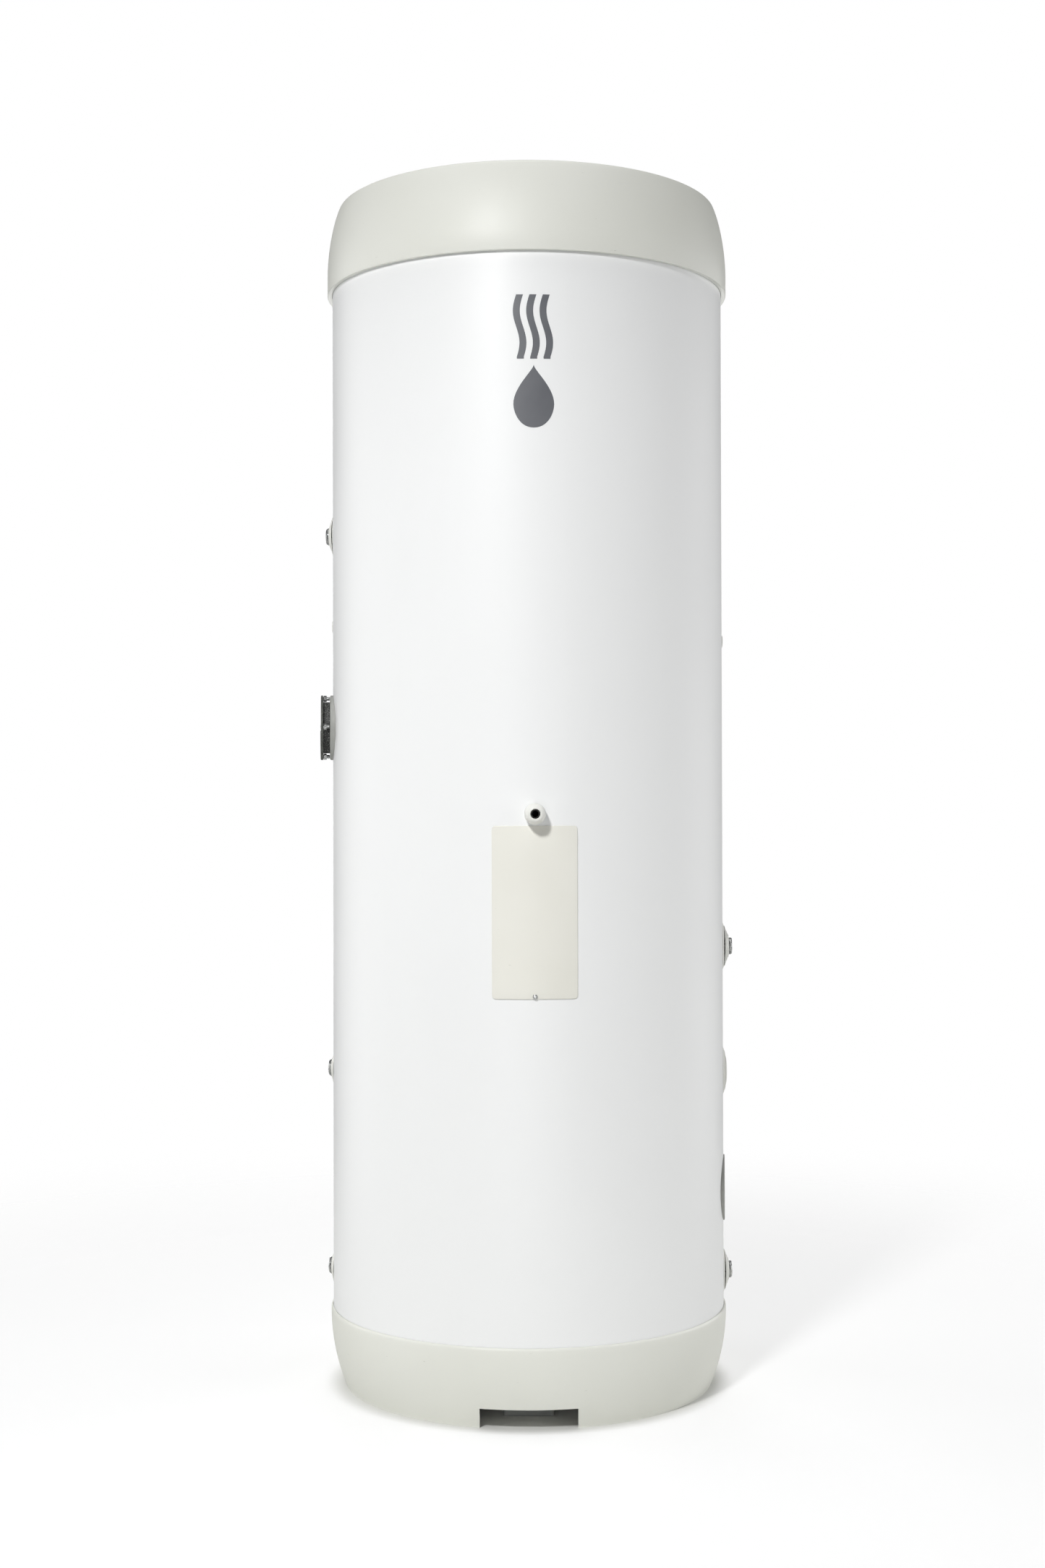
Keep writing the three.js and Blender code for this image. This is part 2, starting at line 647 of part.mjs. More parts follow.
// The screw-in heater: a socket on the tank, a hexagon plug, a hairpin element and a thermostat pocket.
function makeHeater() {
  const place = { azimuth: 0, height: HEATER_HEIGHT };
  const boss = solidOf(
    pipe(HEATER_THREAD_RADIUS + 0.4, HEATER_BOSS_RADIUS, -6, 14, 24),
    outward(place, TANK_RADIUS),
  ).subtract(core(TANK_RADIUS + GAP));
  add("heater_boss", geometryOf(boss), "steel");

  const spot = station(place, TANK_RADIUS);
  let plug = solidOf(hexagon(29, 14.3, 24)).add(solidOf(bar(HEATER_THREAD_RADIUS, -12, 15)));
  for (const x of [-12, 12]) {
    plug = plug.add(solidOf(bar(2.5, 23, 31, 10).translate(x, 0, 0)));
  }
  add("heater_plug", geometryOf(plug), "brass", spot);

  const root = -12 - GAP;
  const path = [
    [-16, root], [-16, root - 60], [-16, root - HEATER_LENGTH * 0.5], [-16, root - HEATER_LENGTH],
    [0, root - HEATER_LENGTH - 16], [16, root - HEATER_LENGTH], [16, root - HEATER_LENGTH * 0.5],
    [16, root - 60], [16, root],
  ].map(([x, z]) => new THREE.Vector3(x, 0, z));
  const hairpin = tubeAlong(new THREE.CatmullRomCurve3(path), 4.2, 30, 6);
  add("heating_element", hairpin, "steel", spot);
  add("thermostat_pocket", bar(6, root - 220, root, 12), "steel", spot);
}

// Behind the service cover: a bracket with the thermostat, its dial and reset button, the terminal
// block and the earth screw.
function makeServiceParts() {
  const face = -TANK_RADIUS - 7.5; // front of the bracket's plate
  const plate = solidOf(block([-42, 42], [face, face + 1.5], [708, 811]));
  const foot = solidOf(block([-42, 42], [face, -TANK_RADIUS - 0.5], [809.5, 811]));
  add("service_bracket", geometryOf(plate.add(foot)), "steel");

  const back = face - GAP;
  const front = back - 24;
  const controls = 762;
  const button = new THREE.Vector3(18, front, controls);
  const dial = new THREE.Vector3(-8, front, controls);
  const quarter = new THREE.Matrix4().makeRotationX(Math.PI / 2);
  const at = (spot) => new THREE.Matrix4().makeTranslation(spot).multiply(quarter);
  const body = solidOf(block([-28, 28], [front, back], [730, 790]))
    .subtract(solidOf(bar(3.5, -5.6, 5, 12), at(button)));
  add("thermostat_body", geometryOf(body), "black");

  const knob = solidOf(bar(12, GAP, 3.2, 24)).add(solidOf(block([-1.6, 1.6], [-11, 11], [3, 5.2])));
  add("thermostat_dial", geometryOf(knob).applyMatrix4(at(dial)), "whitePlastic");
  add("reset_button", bar(3.2, -3, 3.6, 12).applyMatrix4(at(button)), "red");

  add("terminal_block", block([-24, 24], [back - 16, back], [711, 727]), "whitePlastic");
  const earth = solidOf(hexagon(4.6, GAP, 3.6)).add(solidOf(bar(2.4, 3, 7, 10)));
  const stud = new THREE.Vector3(-35, face, controls);
  add("earth_screw", geometryOf(earth).applyMatrix4(at(stud)), "brass");
}

makeJacket();
makeSeamStrip();
makeTopCap();
makeBaseCap();
makeAccessCover();
makeCableGland();
makePorts();
makeSensors();
makeFlanges();
makeInsulation();
makeTank();
makeFeet();
makeInnerPipes();
makeHeater();
makeServiceParts();

export default heater;
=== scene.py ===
import math

import bmesh
import bpy
from mathutils import Matrix, Vector


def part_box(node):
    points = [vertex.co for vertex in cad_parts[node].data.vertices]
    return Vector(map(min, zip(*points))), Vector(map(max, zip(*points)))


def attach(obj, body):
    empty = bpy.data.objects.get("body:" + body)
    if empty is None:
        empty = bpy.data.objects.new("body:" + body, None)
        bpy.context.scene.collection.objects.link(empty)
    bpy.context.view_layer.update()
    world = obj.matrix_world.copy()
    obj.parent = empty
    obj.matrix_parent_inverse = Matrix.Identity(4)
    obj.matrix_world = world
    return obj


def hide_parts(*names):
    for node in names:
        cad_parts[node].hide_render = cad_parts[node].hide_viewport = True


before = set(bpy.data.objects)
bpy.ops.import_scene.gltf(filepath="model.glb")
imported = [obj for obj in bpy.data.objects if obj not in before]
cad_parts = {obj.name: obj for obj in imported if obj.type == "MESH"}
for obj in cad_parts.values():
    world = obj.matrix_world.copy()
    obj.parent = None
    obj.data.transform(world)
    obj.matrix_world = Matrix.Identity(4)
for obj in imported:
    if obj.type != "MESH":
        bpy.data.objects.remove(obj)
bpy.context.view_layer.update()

# ---- Studio ----
# A camera at chest height in front of the service side, a little to its left. The heater stands on a
# plain pale floor that fades into a white surround. A small lamp high on the left is the key light, a
# wide one low in front fills the foot, and large soft panels light the sides, the back and the lid.
CAMERA_AZIMUTH = math.radians(-1.9)
CAMERA_DISTANCE = 3.168
CAMERA_HEIGHT = 0.853
CAMERA_LENS = 48.57
CAMERA_PAN, CAMERA_TILT, CAMERA_ROLL = 0.0024, 0.0098, -0.0022
FLOOR_RADIUS = 2.6
SHADOW_FADE = (0.268, 0.31)
FLOOR_FADE = (1.0, 2.3)

bpy.ops.object.select_all(action="DESELECT")
bpy.ops.object.camera_add()
camera = bpy.context.object
camera.name = "studio_camera"
camera.data.sensor_width = 36
camera.data.lens = CAMERA_LENS
camera.location = (
    CAMERA_DISTANCE * math.sin(CAMERA_AZIMUTH),
    -CAMERA_DISTANCE * math.cos(CAMERA_AZIMUTH),
    CAMERA_HEIGHT,
)
facing = Matrix.Rotation(CAMERA_AZIMUTH + CAMERA_PAN, 4, "Z")
raised = Matrix.Rotation(math.pi / 2 + CAMERA_TILT, 4, "X")
leaning = Matrix.Rotation(CAMERA_ROLL, 4, "Z")
camera.rotation_euler = (facing @ raised @ leaning).to_euler()
bpy.context.scene.camera = camera
bpy.context.scene.view_settings.view_transform = "Standard"

bpy.ops.mesh.primitive_circle_add(vertices=96, radius=FLOOR_RADIUS, fill_type="NGON")
floor = bpy.context.object
floor.name = "studio_floor"
paper = bpy.data.materials.new("floor_paper")
paper.use_nodes = True
nodes, links = paper.node_tree.nodes, paper.node_tree.links
nodes.remove(nodes["Principled BSDF"])
place = nodes.new("ShaderNodeTexCoord")
distance = nodes.new("ShaderNodeVectorMath")
distance.operation = "LENGTH"
links.new(place.outputs["Object"], distance.inputs[0])


def floor_ramp(start, end):
    """A value that climbs from 0 to 1 between two distances from the heater's axis."""
    climb = nodes.new("ShaderNodeMapRange")
    climb.interpolation_type = "SMOOTHSTEP"
    climb.inputs["From Min"].default_value = start
    climb.inputs["From Max"].default_value = end
    links.new(distance.outputs["Value"], climb.inputs["Value"])
    return climb.outputs["Result"]


def blend_of(share, first, second):
    """Two shaders, mixed by the share of the second."""
    mixer = nodes.new("ShaderNodeMixShader")
    links.new(share, mixer.inputs[0])
    links.new(first, mixer.inputs[1])
    links.new(second, mixer.inputs[2])
    return mixer.outputs["Shader"]


# The paper takes the shadow under the heater. Farther out it glows for the eye alone, and then it
# fades away.
shaded = nodes.new("ShaderNodeBsdfDiffuse")
shaded.inputs["Color"].default_value = (0.75, 0.75, 0.73, 1)
pale = nodes.new("ShaderNodeBsdfDiffuse")
pale.inputs["Color"].default_value = (0.55, 0.55, 0.55, 1)
glow = nodes.new("ShaderNodeEmission")
glow.inputs["Strength"].default_value = 0.5
lit = nodes.new("ShaderNodeAddShader")
links.new(pale.outputs["BSDF"], lit.inputs[0])
links.new(glow.outputs["Emission"], lit.inputs[1])
seen = nodes.new("ShaderNodeLightPath")
under = nodes.new("ShaderNodeMath")
under.operation = "MULTIPLY"
links.new(seen.outputs["Is Camera Ray"], under.inputs[0])
links.new(floor_ramp(*SHADOW_FADE), under.inputs[1])
clear = nodes.new("ShaderNodeBsdfTransparent")
near = blend_of(under.outputs["Value"], shaded.outputs["BSDF"], lit.outputs["Shader"])
whole = blend_of(floor_ramp(*FLOOR_FADE), near, clear.outputs["BSDF"])
links.new(whole, nodes["Material Output"].inputs["Surface"])
floor.data.materials.append(paper)

# The eye sees white all round, but nearly all of the heater's light is left to the lamps.
surround = bpy.data.worlds.new("studio_surround")
bpy.context.scene.world = surround
surround.use_nodes = True
nodes, links = surround.node_tree.nodes, surround.node_tree.links
white = nodes["Background"]
white.inputs["Color"].default_value = (1, 1, 1, 1)
white.inputs["Strength"].default_value = 1.0
dim = nodes.new("ShaderNodeBackground")
dim.inputs["Color"].default_value = (0.97, 0.98, 1, 1)
dim.inputs["Strength"].default_value = 0.02
seen = nodes.new("ShaderNodeLightPath")
joined = blend_of(seen.outputs["Is Camera Ray"], dim.outputs["Background"], white.outputs["Background"])
links.new(joined, nodes["World Output"].inputs["Surface"])


def lamp(name, azimuth, away, height, aim, size, level, spread=180):
    """An area lamp at a height and a distance from the heater's axis, aimed at a height on the axis.
    The level is the light that it gives a white card that faces it there."""
    around = math.radians(azimuth)
    spot = Vector((away * math.sin(around), -away * math.cos(around), height))
    beam = Vector((0, 0, aim)) - spot
    bpy.ops.object.light_add(type="AREA", location=spot)
    made = bpy.context.object
    made.name = name
    made.rotation_euler = beam.to_track_quat("-Z", "Y").to_euler()
    made.data.shape = "RECTANGLE"
    made.data.size, made.data.size_y = size
    made.data.energy = level * (math.pi * beam.length) ** 2
    made.data.spread = math.radians(spread)
    made.visible_camera = False


lamp("key_lamp", -20, 2.2, 2.25, 0.1, (0.3, 0.3), 0.165, 112)
lamp("low_fill", -8, 2.8, 0.4, 0.5, (1.2, 0.6), 0.14)
lamp("left_front_panel", -70, 3.4, 1.1, 0.87, (2.8, 2.8), 0.17)
lamp("left_back_panel", -112, 3.2, 1.1, 0.87, (1.8, 2.8), 0.33)
lamp("right_front_panel", 64, 3.4, 1.1, 0.87, (2.8, 2.8), 0.27)
lamp("right_back_panel", 114, 3.2, 1.1, 0.87, (2.2, 2.8), 0.42)
lamp("back_panel", 180, 4.0, 1.4, 0.87, (2.4, 2.4), 0.5)
lamp("overhead_panel", 0, 0.1, 3.8, 1.0, (2.0, 2.0), 0.34)

# ---- Steel tank, its pipes and its anode ----
# A pressure vessel of welded steel sheet with a glassy blue enamel fired on, with a coil for another
# heat source, plated pipes and a magnesium rod that protects the enamel. The foam hides all of it.

# The heater's own sizes are in millimetres, and this takes them to the scene's metres.
MM = 0.001
CLOUD_LOW, CLOUD_HIGH = 0.3, 0.7


def tone(red, green, blue):
    """A colour in the usual 0 to 255 levels, as the linear light that a shader takes."""
    shares = [level / 255 for level in (red, green, blue)]
    return (*[s / 12.92 if s < 0.04 else ((s + 0.055) / 1.055) ** 2.4 for s in shares], 1)


def texture(finish, kind, size, stretch=(1, 1, 1), detail=2.0):
    """A texture whose grain has a size in millimetres, stretched along the object's axes."""
    nodes, links = finish.node_tree.nodes, finish.node_tree.links
    place = nodes.new("ShaderNodeTexCoord")
    scaled = nodes.new("ShaderNodeMapping")
    scaled.inputs["Scale"].default_value = [1 / (size * MM * part) for part in stretch]
    links.new(place.outputs["Object"], scaled.inputs["Vector"])
    pattern = nodes.new(kind)
    pattern.inputs["Scale"].default_value = 1
    if "Detail" in pattern.inputs:
        pattern.inputs["Detail"].default_value = detail
    links.new(scaled.outputs["Vector"], pattern.inputs["Vector"])
    return pattern


def surface(name, light, dark, drift, gloss, metallic=0.0):
    """A finish whose colour drifts between two tones and whose roughness drifts over half that size."""
    finish = bpy.data.materials.new(name)
    finish.use_nodes = True
    nodes, links = finish.node_tree.nodes, finish.node_tree.links
    shader = nodes["Principled BSDF"]
    shader.inputs["Metallic"].default_value = metallic
    colour = nodes.new("ShaderNodeValToRGB")
    colour.color_ramp.elements[0].position = CLOUD_LOW
    colour.color_ramp.elements[0].color = dark
    colour.color_ramp.elements[1].position = CLOUD_HIGH
    colour.color_ramp.elements[1].color = light
    cloud = texture(finish, "ShaderNodeTexNoise", drift)
    links.new(cloud.outputs["Fac"], colour.inputs["Fac"])
    links.new(colour.outputs["Color"], shader.inputs["Base Color"])
    polish = nodes.new("ShaderNodeMapRange")
    polish.inputs["From Min"].default_value = CLOUD_LOW
    polish.inputs["From Max"].default_value = CLOUD_HIGH
    polish.inputs["To Min"].default_value, polish.inputs["To Max"].default_value = gloss
    patch = texture(finish, "ShaderNodeTexNoise", drift / 2, detail=4.0)
    links.new(patch.outputs["Fac"], polish.inputs["Value"])
    links.new(polish.outputs["Result"], shader.inputs["Roughness"])
    return finish


def relief(finish, pattern, depth, output="Fac"):
    """Lays a texture's relief, of a depth in millimetres, over the relief that a finish has."""
    nodes, links = finish.node_tree.nodes, finish.node_tree.links
    normal = nodes["Principled BSDF"].inputs["Normal"]
    bump = nodes.new("ShaderNodeBump")
    bump.inputs["Distance"].default_value = depth * MM
    links.new(pattern.outputs[output], bump.inputs["Height"])
    if normal.is_linked:
        links.new(normal.links[0].from_socket, bump.inputs["Normal"])
    links.new(bump.outputs["Normal"], normal)


def marks(finish, pattern, colour, start, end, output="Fac"):
    """Paints a colour over a finish where a texture climbs from a start value to an end value."""
    nodes, links = finish.node_tree.nodes, finish.node_tree.links
    base = nodes["Principled BSDF"].inputs["Base Color"]
    share = nodes.new("ShaderNodeMapRange")
    share.inputs["From Min"].default_value = start
    share.inputs["From Max"].default_value = end
    links.new(pattern.outputs[output], share.inputs["Value"])
    painted = nodes.new("ShaderNodeMix")
    painted.data_type = "RGBA"
    links.new(share.outputs["Result"], painted.inputs["Factor"])
    links.new(base.links[0].from_socket, painted.inputs["A"])
    painted.inputs["B"].default_value = colour
    links.new(painted.outputs["Result"], base)


def dress(finish, *names):
    """Gives carried-over nodes a finish."""
    for name in names:
        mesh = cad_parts[name].data
        mesh.materials.clear()
        mesh.materials.append(finish)


tank_enamel = surface("tank_enamel", tone(52, 84, 108), tone(38, 62, 82), 120, (0.18, 0.3))
relief(tank_enamel, texture(tank_enamel, "ShaderNodeTexNoise", 6), 0.05)
marks(tank_enamel, texture(tank_enamel, "ShaderNodeTexNoise", 4), tone(24, 34, 44), 0.66, 0.74)
dress(tank_enamel, "tank_barrel", "tank_top_head", "tank_bottom_head", "heat_exchanger_coil")

zinc_steel = surface("zinc_steel", tone(214, 215, 213), tone(178, 180, 180), 9, (0.22, 0.4), 1.0)
relief(zinc_steel, texture(zinc_steel, "ShaderNodeTexNoise", 0.8, detail=4.0), 0.01)
marks(zinc_steel, texture(zinc_steel, "ShaderNodeTexNoise", 3), tone(140, 138, 130), 0.62, 0.8)
dress(zinc_steel, "cold_inlet_elbow", "hot_outlet_riser", "heating_element", "thermostat_pocket")
dress(zinc_steel, "tank_leg_front", "tank_leg_right", "tank_leg_left")

cast_magnesium = surface("cast_magnesium", tone(176, 177, 175), tone(146, 147, 146), 15, (0.5, 0.7), 1.0)
relief(cast_magnesium, texture(cast_magnesium, "ShaderNodeTexNoise", 2, detail=5.0), 0.12)
dress(cast_magnesium, "anode_rod")

turned_brass = surface("turned_brass", tone(214, 180, 108), tone(176, 138, 72), 12, (0.2, 0.38), 1.0)
lathe_lines = texture(turned_brass, "ShaderNodeTexNoise", 0.5, (20, 1, 20), 3.0)
relief(turned_brass, lathe_lines, 0.01)
dress(turned_brass, "anode_plug", "left_sensor_pocket", "right_sensor_pocket")

# ---- Foam insulation ----
# Rigid foam mouldings: a sleeve about four centimetres thick round the barrel, and one at each end.
# The service recess is cut through the front of the sleeve, where its pale cells show.
rigid_foam = surface("rigid_foam", tone(226, 217, 178), tone(205, 192, 146), 25, (0.85, 0.95))
relief(rigid_foam, texture(rigid_foam, "ShaderNodeTexVoronoi", 1.6), 0.3, "Distance")
marks(rigid_foam, texture(rigid_foam, "ShaderNodeTexNoise", 2.5), tone(178, 162, 112), 0.6, 0.78)
dress(rigid_foam, "insulation_side", "insulation_top", "insulation_base")

# ---- Base cap ----
# A deep moulded pan of warm white plastic that the tank stands in. Its skirt narrows to the floor, a
# lip round its top takes the sheet jacket, and a low cut-out lets a hand reach the front foot.
AROUND_CASE = 192
SOLE_RADIUS = 271.6
BASE_SHELF = 30
BASE_FLOOR = 3
JACKET_LEDGE = 99.7
BASE_TURN = math.radians(-1.9)
CUT_OUT_WIDTH, CUT_OUT_DEPTH, CUT_OUT_HEIGHT = 135, 80, 29
CUT_OUT_DISTANCE = 262
LEG_HOLE = 19
FOOT_DISTANCE = 189


def pick(piece):
    """Makes a piece the only one that operators act on."""
    bpy.ops.object.select_all(action="DESELECT")
    piece.select_set(True)
    bpy.context.view_layer.objects.active = piece


def turned(name, profile, around, ring=False):
    """A turned piece along the upright axis: a disc, or a bare ring, is drawn out ring by ring through
    a profile of radii and heights in millimetres. A bare ring has to come back to where it began."""
    bpy.ops.object.select_all(action="DESELECT")
    radius, height = profile[0]
    filled = "NOTHING" if ring else "NGON"
    bpy.ops.mesh.primitive_circle_add(vertices=around, radius=radius * MM, fill_type=filled)
    piece = bpy.context.object
    piece.name = name
    bpy.ops.object.mode_set(mode="EDIT")
    bpy.ops.mesh.select_mode(type="VERT")
    bpy.ops.mesh.select_all(action="SELECT")
    bpy.ops.transform.translate(value=(0, 0, height * MM))
    for next_radius, next_height in profile[1:]:
        rise = (0, 0, (next_height - height) * MM)
        bpy.ops.mesh.extrude_region_move(TRANSFORM_OT_translate={"value": rise})
        stretch = next_radius / radius
        bpy.ops.transform.resize(value=(stretch, stretch, 1), center_override=(0, 0, 0))
        radius, height = next_radius, next_height
    close_up()
    return piece


def close_up():
    """Merges the doubles of the piece in edit mode, turns its faces outwards and leaves edit mode."""
    bpy.ops.mesh.select_all(action="SELECT")
    bpy.ops.mesh.remove_doubles(threshold=0.002 * MM)
    bpy.ops.mesh.normals_make_consistent(inside=False)
    bpy.ops.object.mode_set(mode="OBJECT")


def settle(piece):
    """Puts a piece's place into its mesh, so that the piece itself sits at the origin."""
    pick(piece)
    bpy.ops.object.transform_apply(location=True, rotation=True, scale=True)


def set_out(piece, azimuth, distance, height=0):
    """Moves a piece from the origin up, and out from the upright axis towards an azimuth."""
    piece.matrix_world = Matrix.Rotation(azimuth, 4, "Z") @ Matrix.Translation((0, -distance, height))
    settle(piece)


def middle_of(node):
    """The middle of a node's box."""
    low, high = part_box(node)
    return (low + high) / 2


def where(node):
    """The azimuth and height of the middle of a node."""
    middle = middle_of(node)
    return math.atan2(middle.x, -middle.y), middle.z


def work(piece, tool, operation="DIFFERENCE"):
    """Cuts a piece with a tool, which is used up."""
    pick(piece)
    boolean = piece.modifiers.new("cut", "BOOLEAN")
    boolean.operation = operation
    boolean.object = tool
    bpy.ops.object.modifier_apply(modifier=boolean.name)
    bpy.data.objects.remove(tool)


def block(name, width, depth, height, corner):
    """A block centred on the origin, sizes in millimetres, with its upright edges rounded."""
    bpy.ops.object.select_all(action="DESELECT")
    bpy.ops.mesh.primitive_cube_add(size=1)
    piece = bpy.context.object
    piece.name = name
    piece.scale = (width * MM, depth * MM, height * MM)
    settle(piece)
    if corner:
        bpy.ops.object.mode_set(mode="EDIT")
        choose(piece, lambda edge: abs(edge.verts[0].co.z - edge.verts[1].co.z) > height * MM / 2)
        bpy.ops.mesh.bevel(offset=corner * MM, segments=5, affect="EDGES")
        close_up()
    return piece


def choose(piece, test, kind="edges"):
    """Selects the edges or faces of the piece in edit mode that pass a test."""
    bpy.ops.mesh.select_mode(type="EDGE" if kind == "edges" else "FACE")
    bpy.ops.mesh.select_all(action="DESELECT")
    mesh = bmesh.from_edit_mesh(piece.data)
    for part in getattr(mesh, kind):
        if test(part):
            part.select_set(True)
    bmesh.update_edit_mesh(piece.data)


def fit(piece, finish, slot, body, *stands_for):
    """Smooths a finished piece, gives it its finish and hangs it on its body for its CAD nodes."""
    pick(piece)
    bpy.ops.object.shade_smooth_by_angle(angle=math.radians(35))
    piece.data.materials.clear()
    piece.data.materials.append(finish)
    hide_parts(*stands_for)
    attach(piece, body)


def sweep(start, pull, push, end, steps):
    """Points of a curve that leaves its start towards one handle and reaches its end from another."""
    points = []
    for step in range(steps + 1):
        t = step / steps
        shares = ((1 - t) ** 3, 3 * t * (1 - t) ** 2, 3 * t * t * (1 - t), t ** 3)
        corners = (start, pull, push, end)
        points.append(tuple(sum(s * c[i] for s, c in zip(shares, corners)) for i in (0, 1)))
    return points


jacket_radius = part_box("outer_jacket")[1].x / MM
base_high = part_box("base_cap")[1]
base_radius = base_high.x / MM
base_lip = base_high.z / MM
skirt_side = sweep((SOLE_RADIUS, 1), (282, 25), (base_radius, 62), (base_radius, 108), 24)
base_cap = turned(
    "base_pan",
    [
        (20, BASE_SHELF),
        (SOLE_RADIUS + 4, BASE_SHELF),
        (SOLE_RADIUS - 1.8, 1),
        (SOLE_RADIUS - 1, 0.2),
        (SOLE_RADIUS - 0.4, 0),
        (SOLE_RADIUS, 0.3),
        *skirt_side,
        (base_radius, base_lip - 4),
        (base_radius - 0.3, base_lip - 2.4),
        (base_radius - 1, base_lip - 1),
        (base_radius - 1.8, base_lip - 0.2),
        (base_radius - 2.4, base_lip),
        (jacket_radius + 0.6, base_lip),
        (jacket_radius + 0.6, JACKET_LEDGE),
        (jacket_radius - 3.6, JACKET_LEDGE),
        (jacket_radius - 3.8, 62),
        (SOLE_RADIUS + 7, BASE_SHELF + BASE_FLOOR),
        (20, BASE_SHELF + BASE_FLOOR),
    ],
    AROUND_CASE,
)
cut_out = block("cut_out_tool", CUT_OUT_WIDTH, CUT_OUT_DEPTH, 2 * CUT_OUT_HEIGHT, 0)
set_out(cut_out, BASE_TURN, CUT_OUT_DISTANCE * MM)
work(base_cap, cut_out)
for side in ("front", "right", "left"):
    azimuth, _ = where(f"tank_leg_{side}")
    hole = turned("leg_hole_tool", [(LEG_HOLE, 26), (LEG_HOLE, 44)], 32)
    set_out(hole, azimuth, FOOT_DISTANCE * MM)
    work(base_cap, hole)
cap_plastic = surface("cap_plastic", tone(232, 233, 226), tone(229, 230, 222), 260, (0.42, 0.52))
relief(cap_plastic, texture(cap_plastic, "ShaderNodeTexNoise", 1.2), 0.02)
relief(cap_plastic, texture(cap_plastic, "ShaderNodeTexNoise", 90, (1, 1, 0.7)), 0.5)
scuffs = texture(cap_plastic, "ShaderNodeTexNoise", 5, (3, 3, 0.6), 3.0)
marks(cap_plastic, scuffs, tone(196, 196, 186), 0.74, 0.82)
fit(base_cap, cap_plastic, "moulded_caps", "heater", "base_cap")

# ---- Levelling feet ----
# Three grey moulded blocks on threaded studs that screw into the tank's legs. The front one shows in
# the cut-out of the base cap.
FOOT_WIDTH, FOOT_DEPTH, FOOT_HEIGHT = 72, 40, 25
FOOT_MIDDLE = 13
foot_plastic = surface("foot_plastic", tone(140, 142, 140), tone(122, 124, 122), 20, (0.5, 0.65))
relief(foot_plastic, texture(foot_plastic, "ShaderNodeTexNoise", 0.9), 0.03)


def threaded(radius, start, end, pitch, depth):
    """The ridges of a screw thread as a profile of radii and heights."""
    turns = int((end - start) / pitch)
    profile = []
    for turn in range(turns):
        bottom = start + turn * pitch
        profile += [(radius - depth, bottom), (radius, bottom + pitch * 0.4)]
        profile += [(radius, bottom + pitch * 0.6)]
    return profile + [(radius - depth, start + turns * pitch)]


def soften(piece, width, angle=30):
    """Rounds the edges of a piece that are sharper than an angle, by a width in millimetres."""
    pick(piece)
    rounding = piece.modifiers.new("edges", "BEVEL")
    rounding.width = width * MM
    rounding.segments = 2
    rounding.limit_method = "ANGLE"
    rounding.angle_limit = math.radians(angle)
    bpy.ops.object.modifier_apply(modifier=rounding.name)


for side in ("front", "right", "left"):
    azimuth, _ = where(f"tank_leg_{side}")
    foot = block(f"foot_block_{side}", FOOT_WIDTH, FOOT_DEPTH, FOOT_HEIGHT, 4)
    bpy.ops.object.mode_set(mode="EDIT")
    choose(foot, lambda face: face.normal.z > 0.9, "faces")
    bpy.ops.mesh.inset(thickness=2.5 * MM)
    bpy.ops.mesh.extrude_region_move(TRANSFORM_OT_translate={"value": (0, 0, -1.2 * MM)})
    close_up()
    soften(foot, 0.8)
    stud = turned("foot_stud", [(5, 8), *threaded(6, 10, 59, 1.75, 0.8)], 32)
    work(foot, stud, "UNION")
    set_out(foot, azimuth, FOOT_DISTANCE * MM, FOOT_MIDDLE * MM)
    fit(foot, foot_plastic, "grey_plastic", f"foot_{side}", f"levelling_foot_{side}")

# ---- Outer jacket ----
# One sheet of thin steel, rolled round the foam and closed down the back, with a smooth white lacquer
# baked on. The sheet waves a little, and the lacquer has a faint orange peel.
SHEET = 0.8
RING_STEP = 20
PIPE_HOLE, SENSOR_HOLE, GLAND_HOLE, SCREW_HOLE = 20, 7.4, 10.3, 2.6
WINDOW_WIDTH, WINDOW_HEIGHT, WINDOW_CORNER = 100, 215, 6
WINDOW_DISTANCE, WINDOW_MIDDLE = 285, 707.5
jacket_low, jacket_high = (corner.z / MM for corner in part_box("outer_jacket"))
ring_count = round((jacket_high - jacket_low) / RING_STEP)
outside = [(jacket_radius, jacket_low + RING_STEP * i) for i in range(ring_count + 1)]
inside = [(jacket_radius - SHEET, jacket_high), (jacket_radius - SHEET, jacket_low)]
jacket = turned("jacket_sheet", outside + inside + outside[:1], AROUND_CASE, ring=True)


def facing_out(piece, azimuth, height, radius):
    """Stands a piece that was made along the upright axis on a round wall, pointing outwards."""
    turn = Matrix.Rotation(azimuth, 4, "Z")
    shift = Matrix.Translation((0, -radius, height))
    piece.matrix_world = turn @ shift @ Matrix.Rotation(math.pi / 2, 4, "X")
    settle(piece)


def to_front(piece, x, y, z):
    """Moves a piece that was made along the upright axis to a point and turns it to face the front."""
    piece.matrix_world = Matrix.Translation((x, y, z)) @ Matrix.Rotation(math.pi / 2, 4, "X")
    settle(piece)


def drilled(piece, radius, azimuth, height):
    """Drills a round hole through the jacket wall, its radius in millimetres."""
    bit = turned("drill_tool", [(radius, -15), (radius, 15)], 40)
    facing_out(bit, azimuth, height, jacket_radius * MM)
    work(piece, bit)


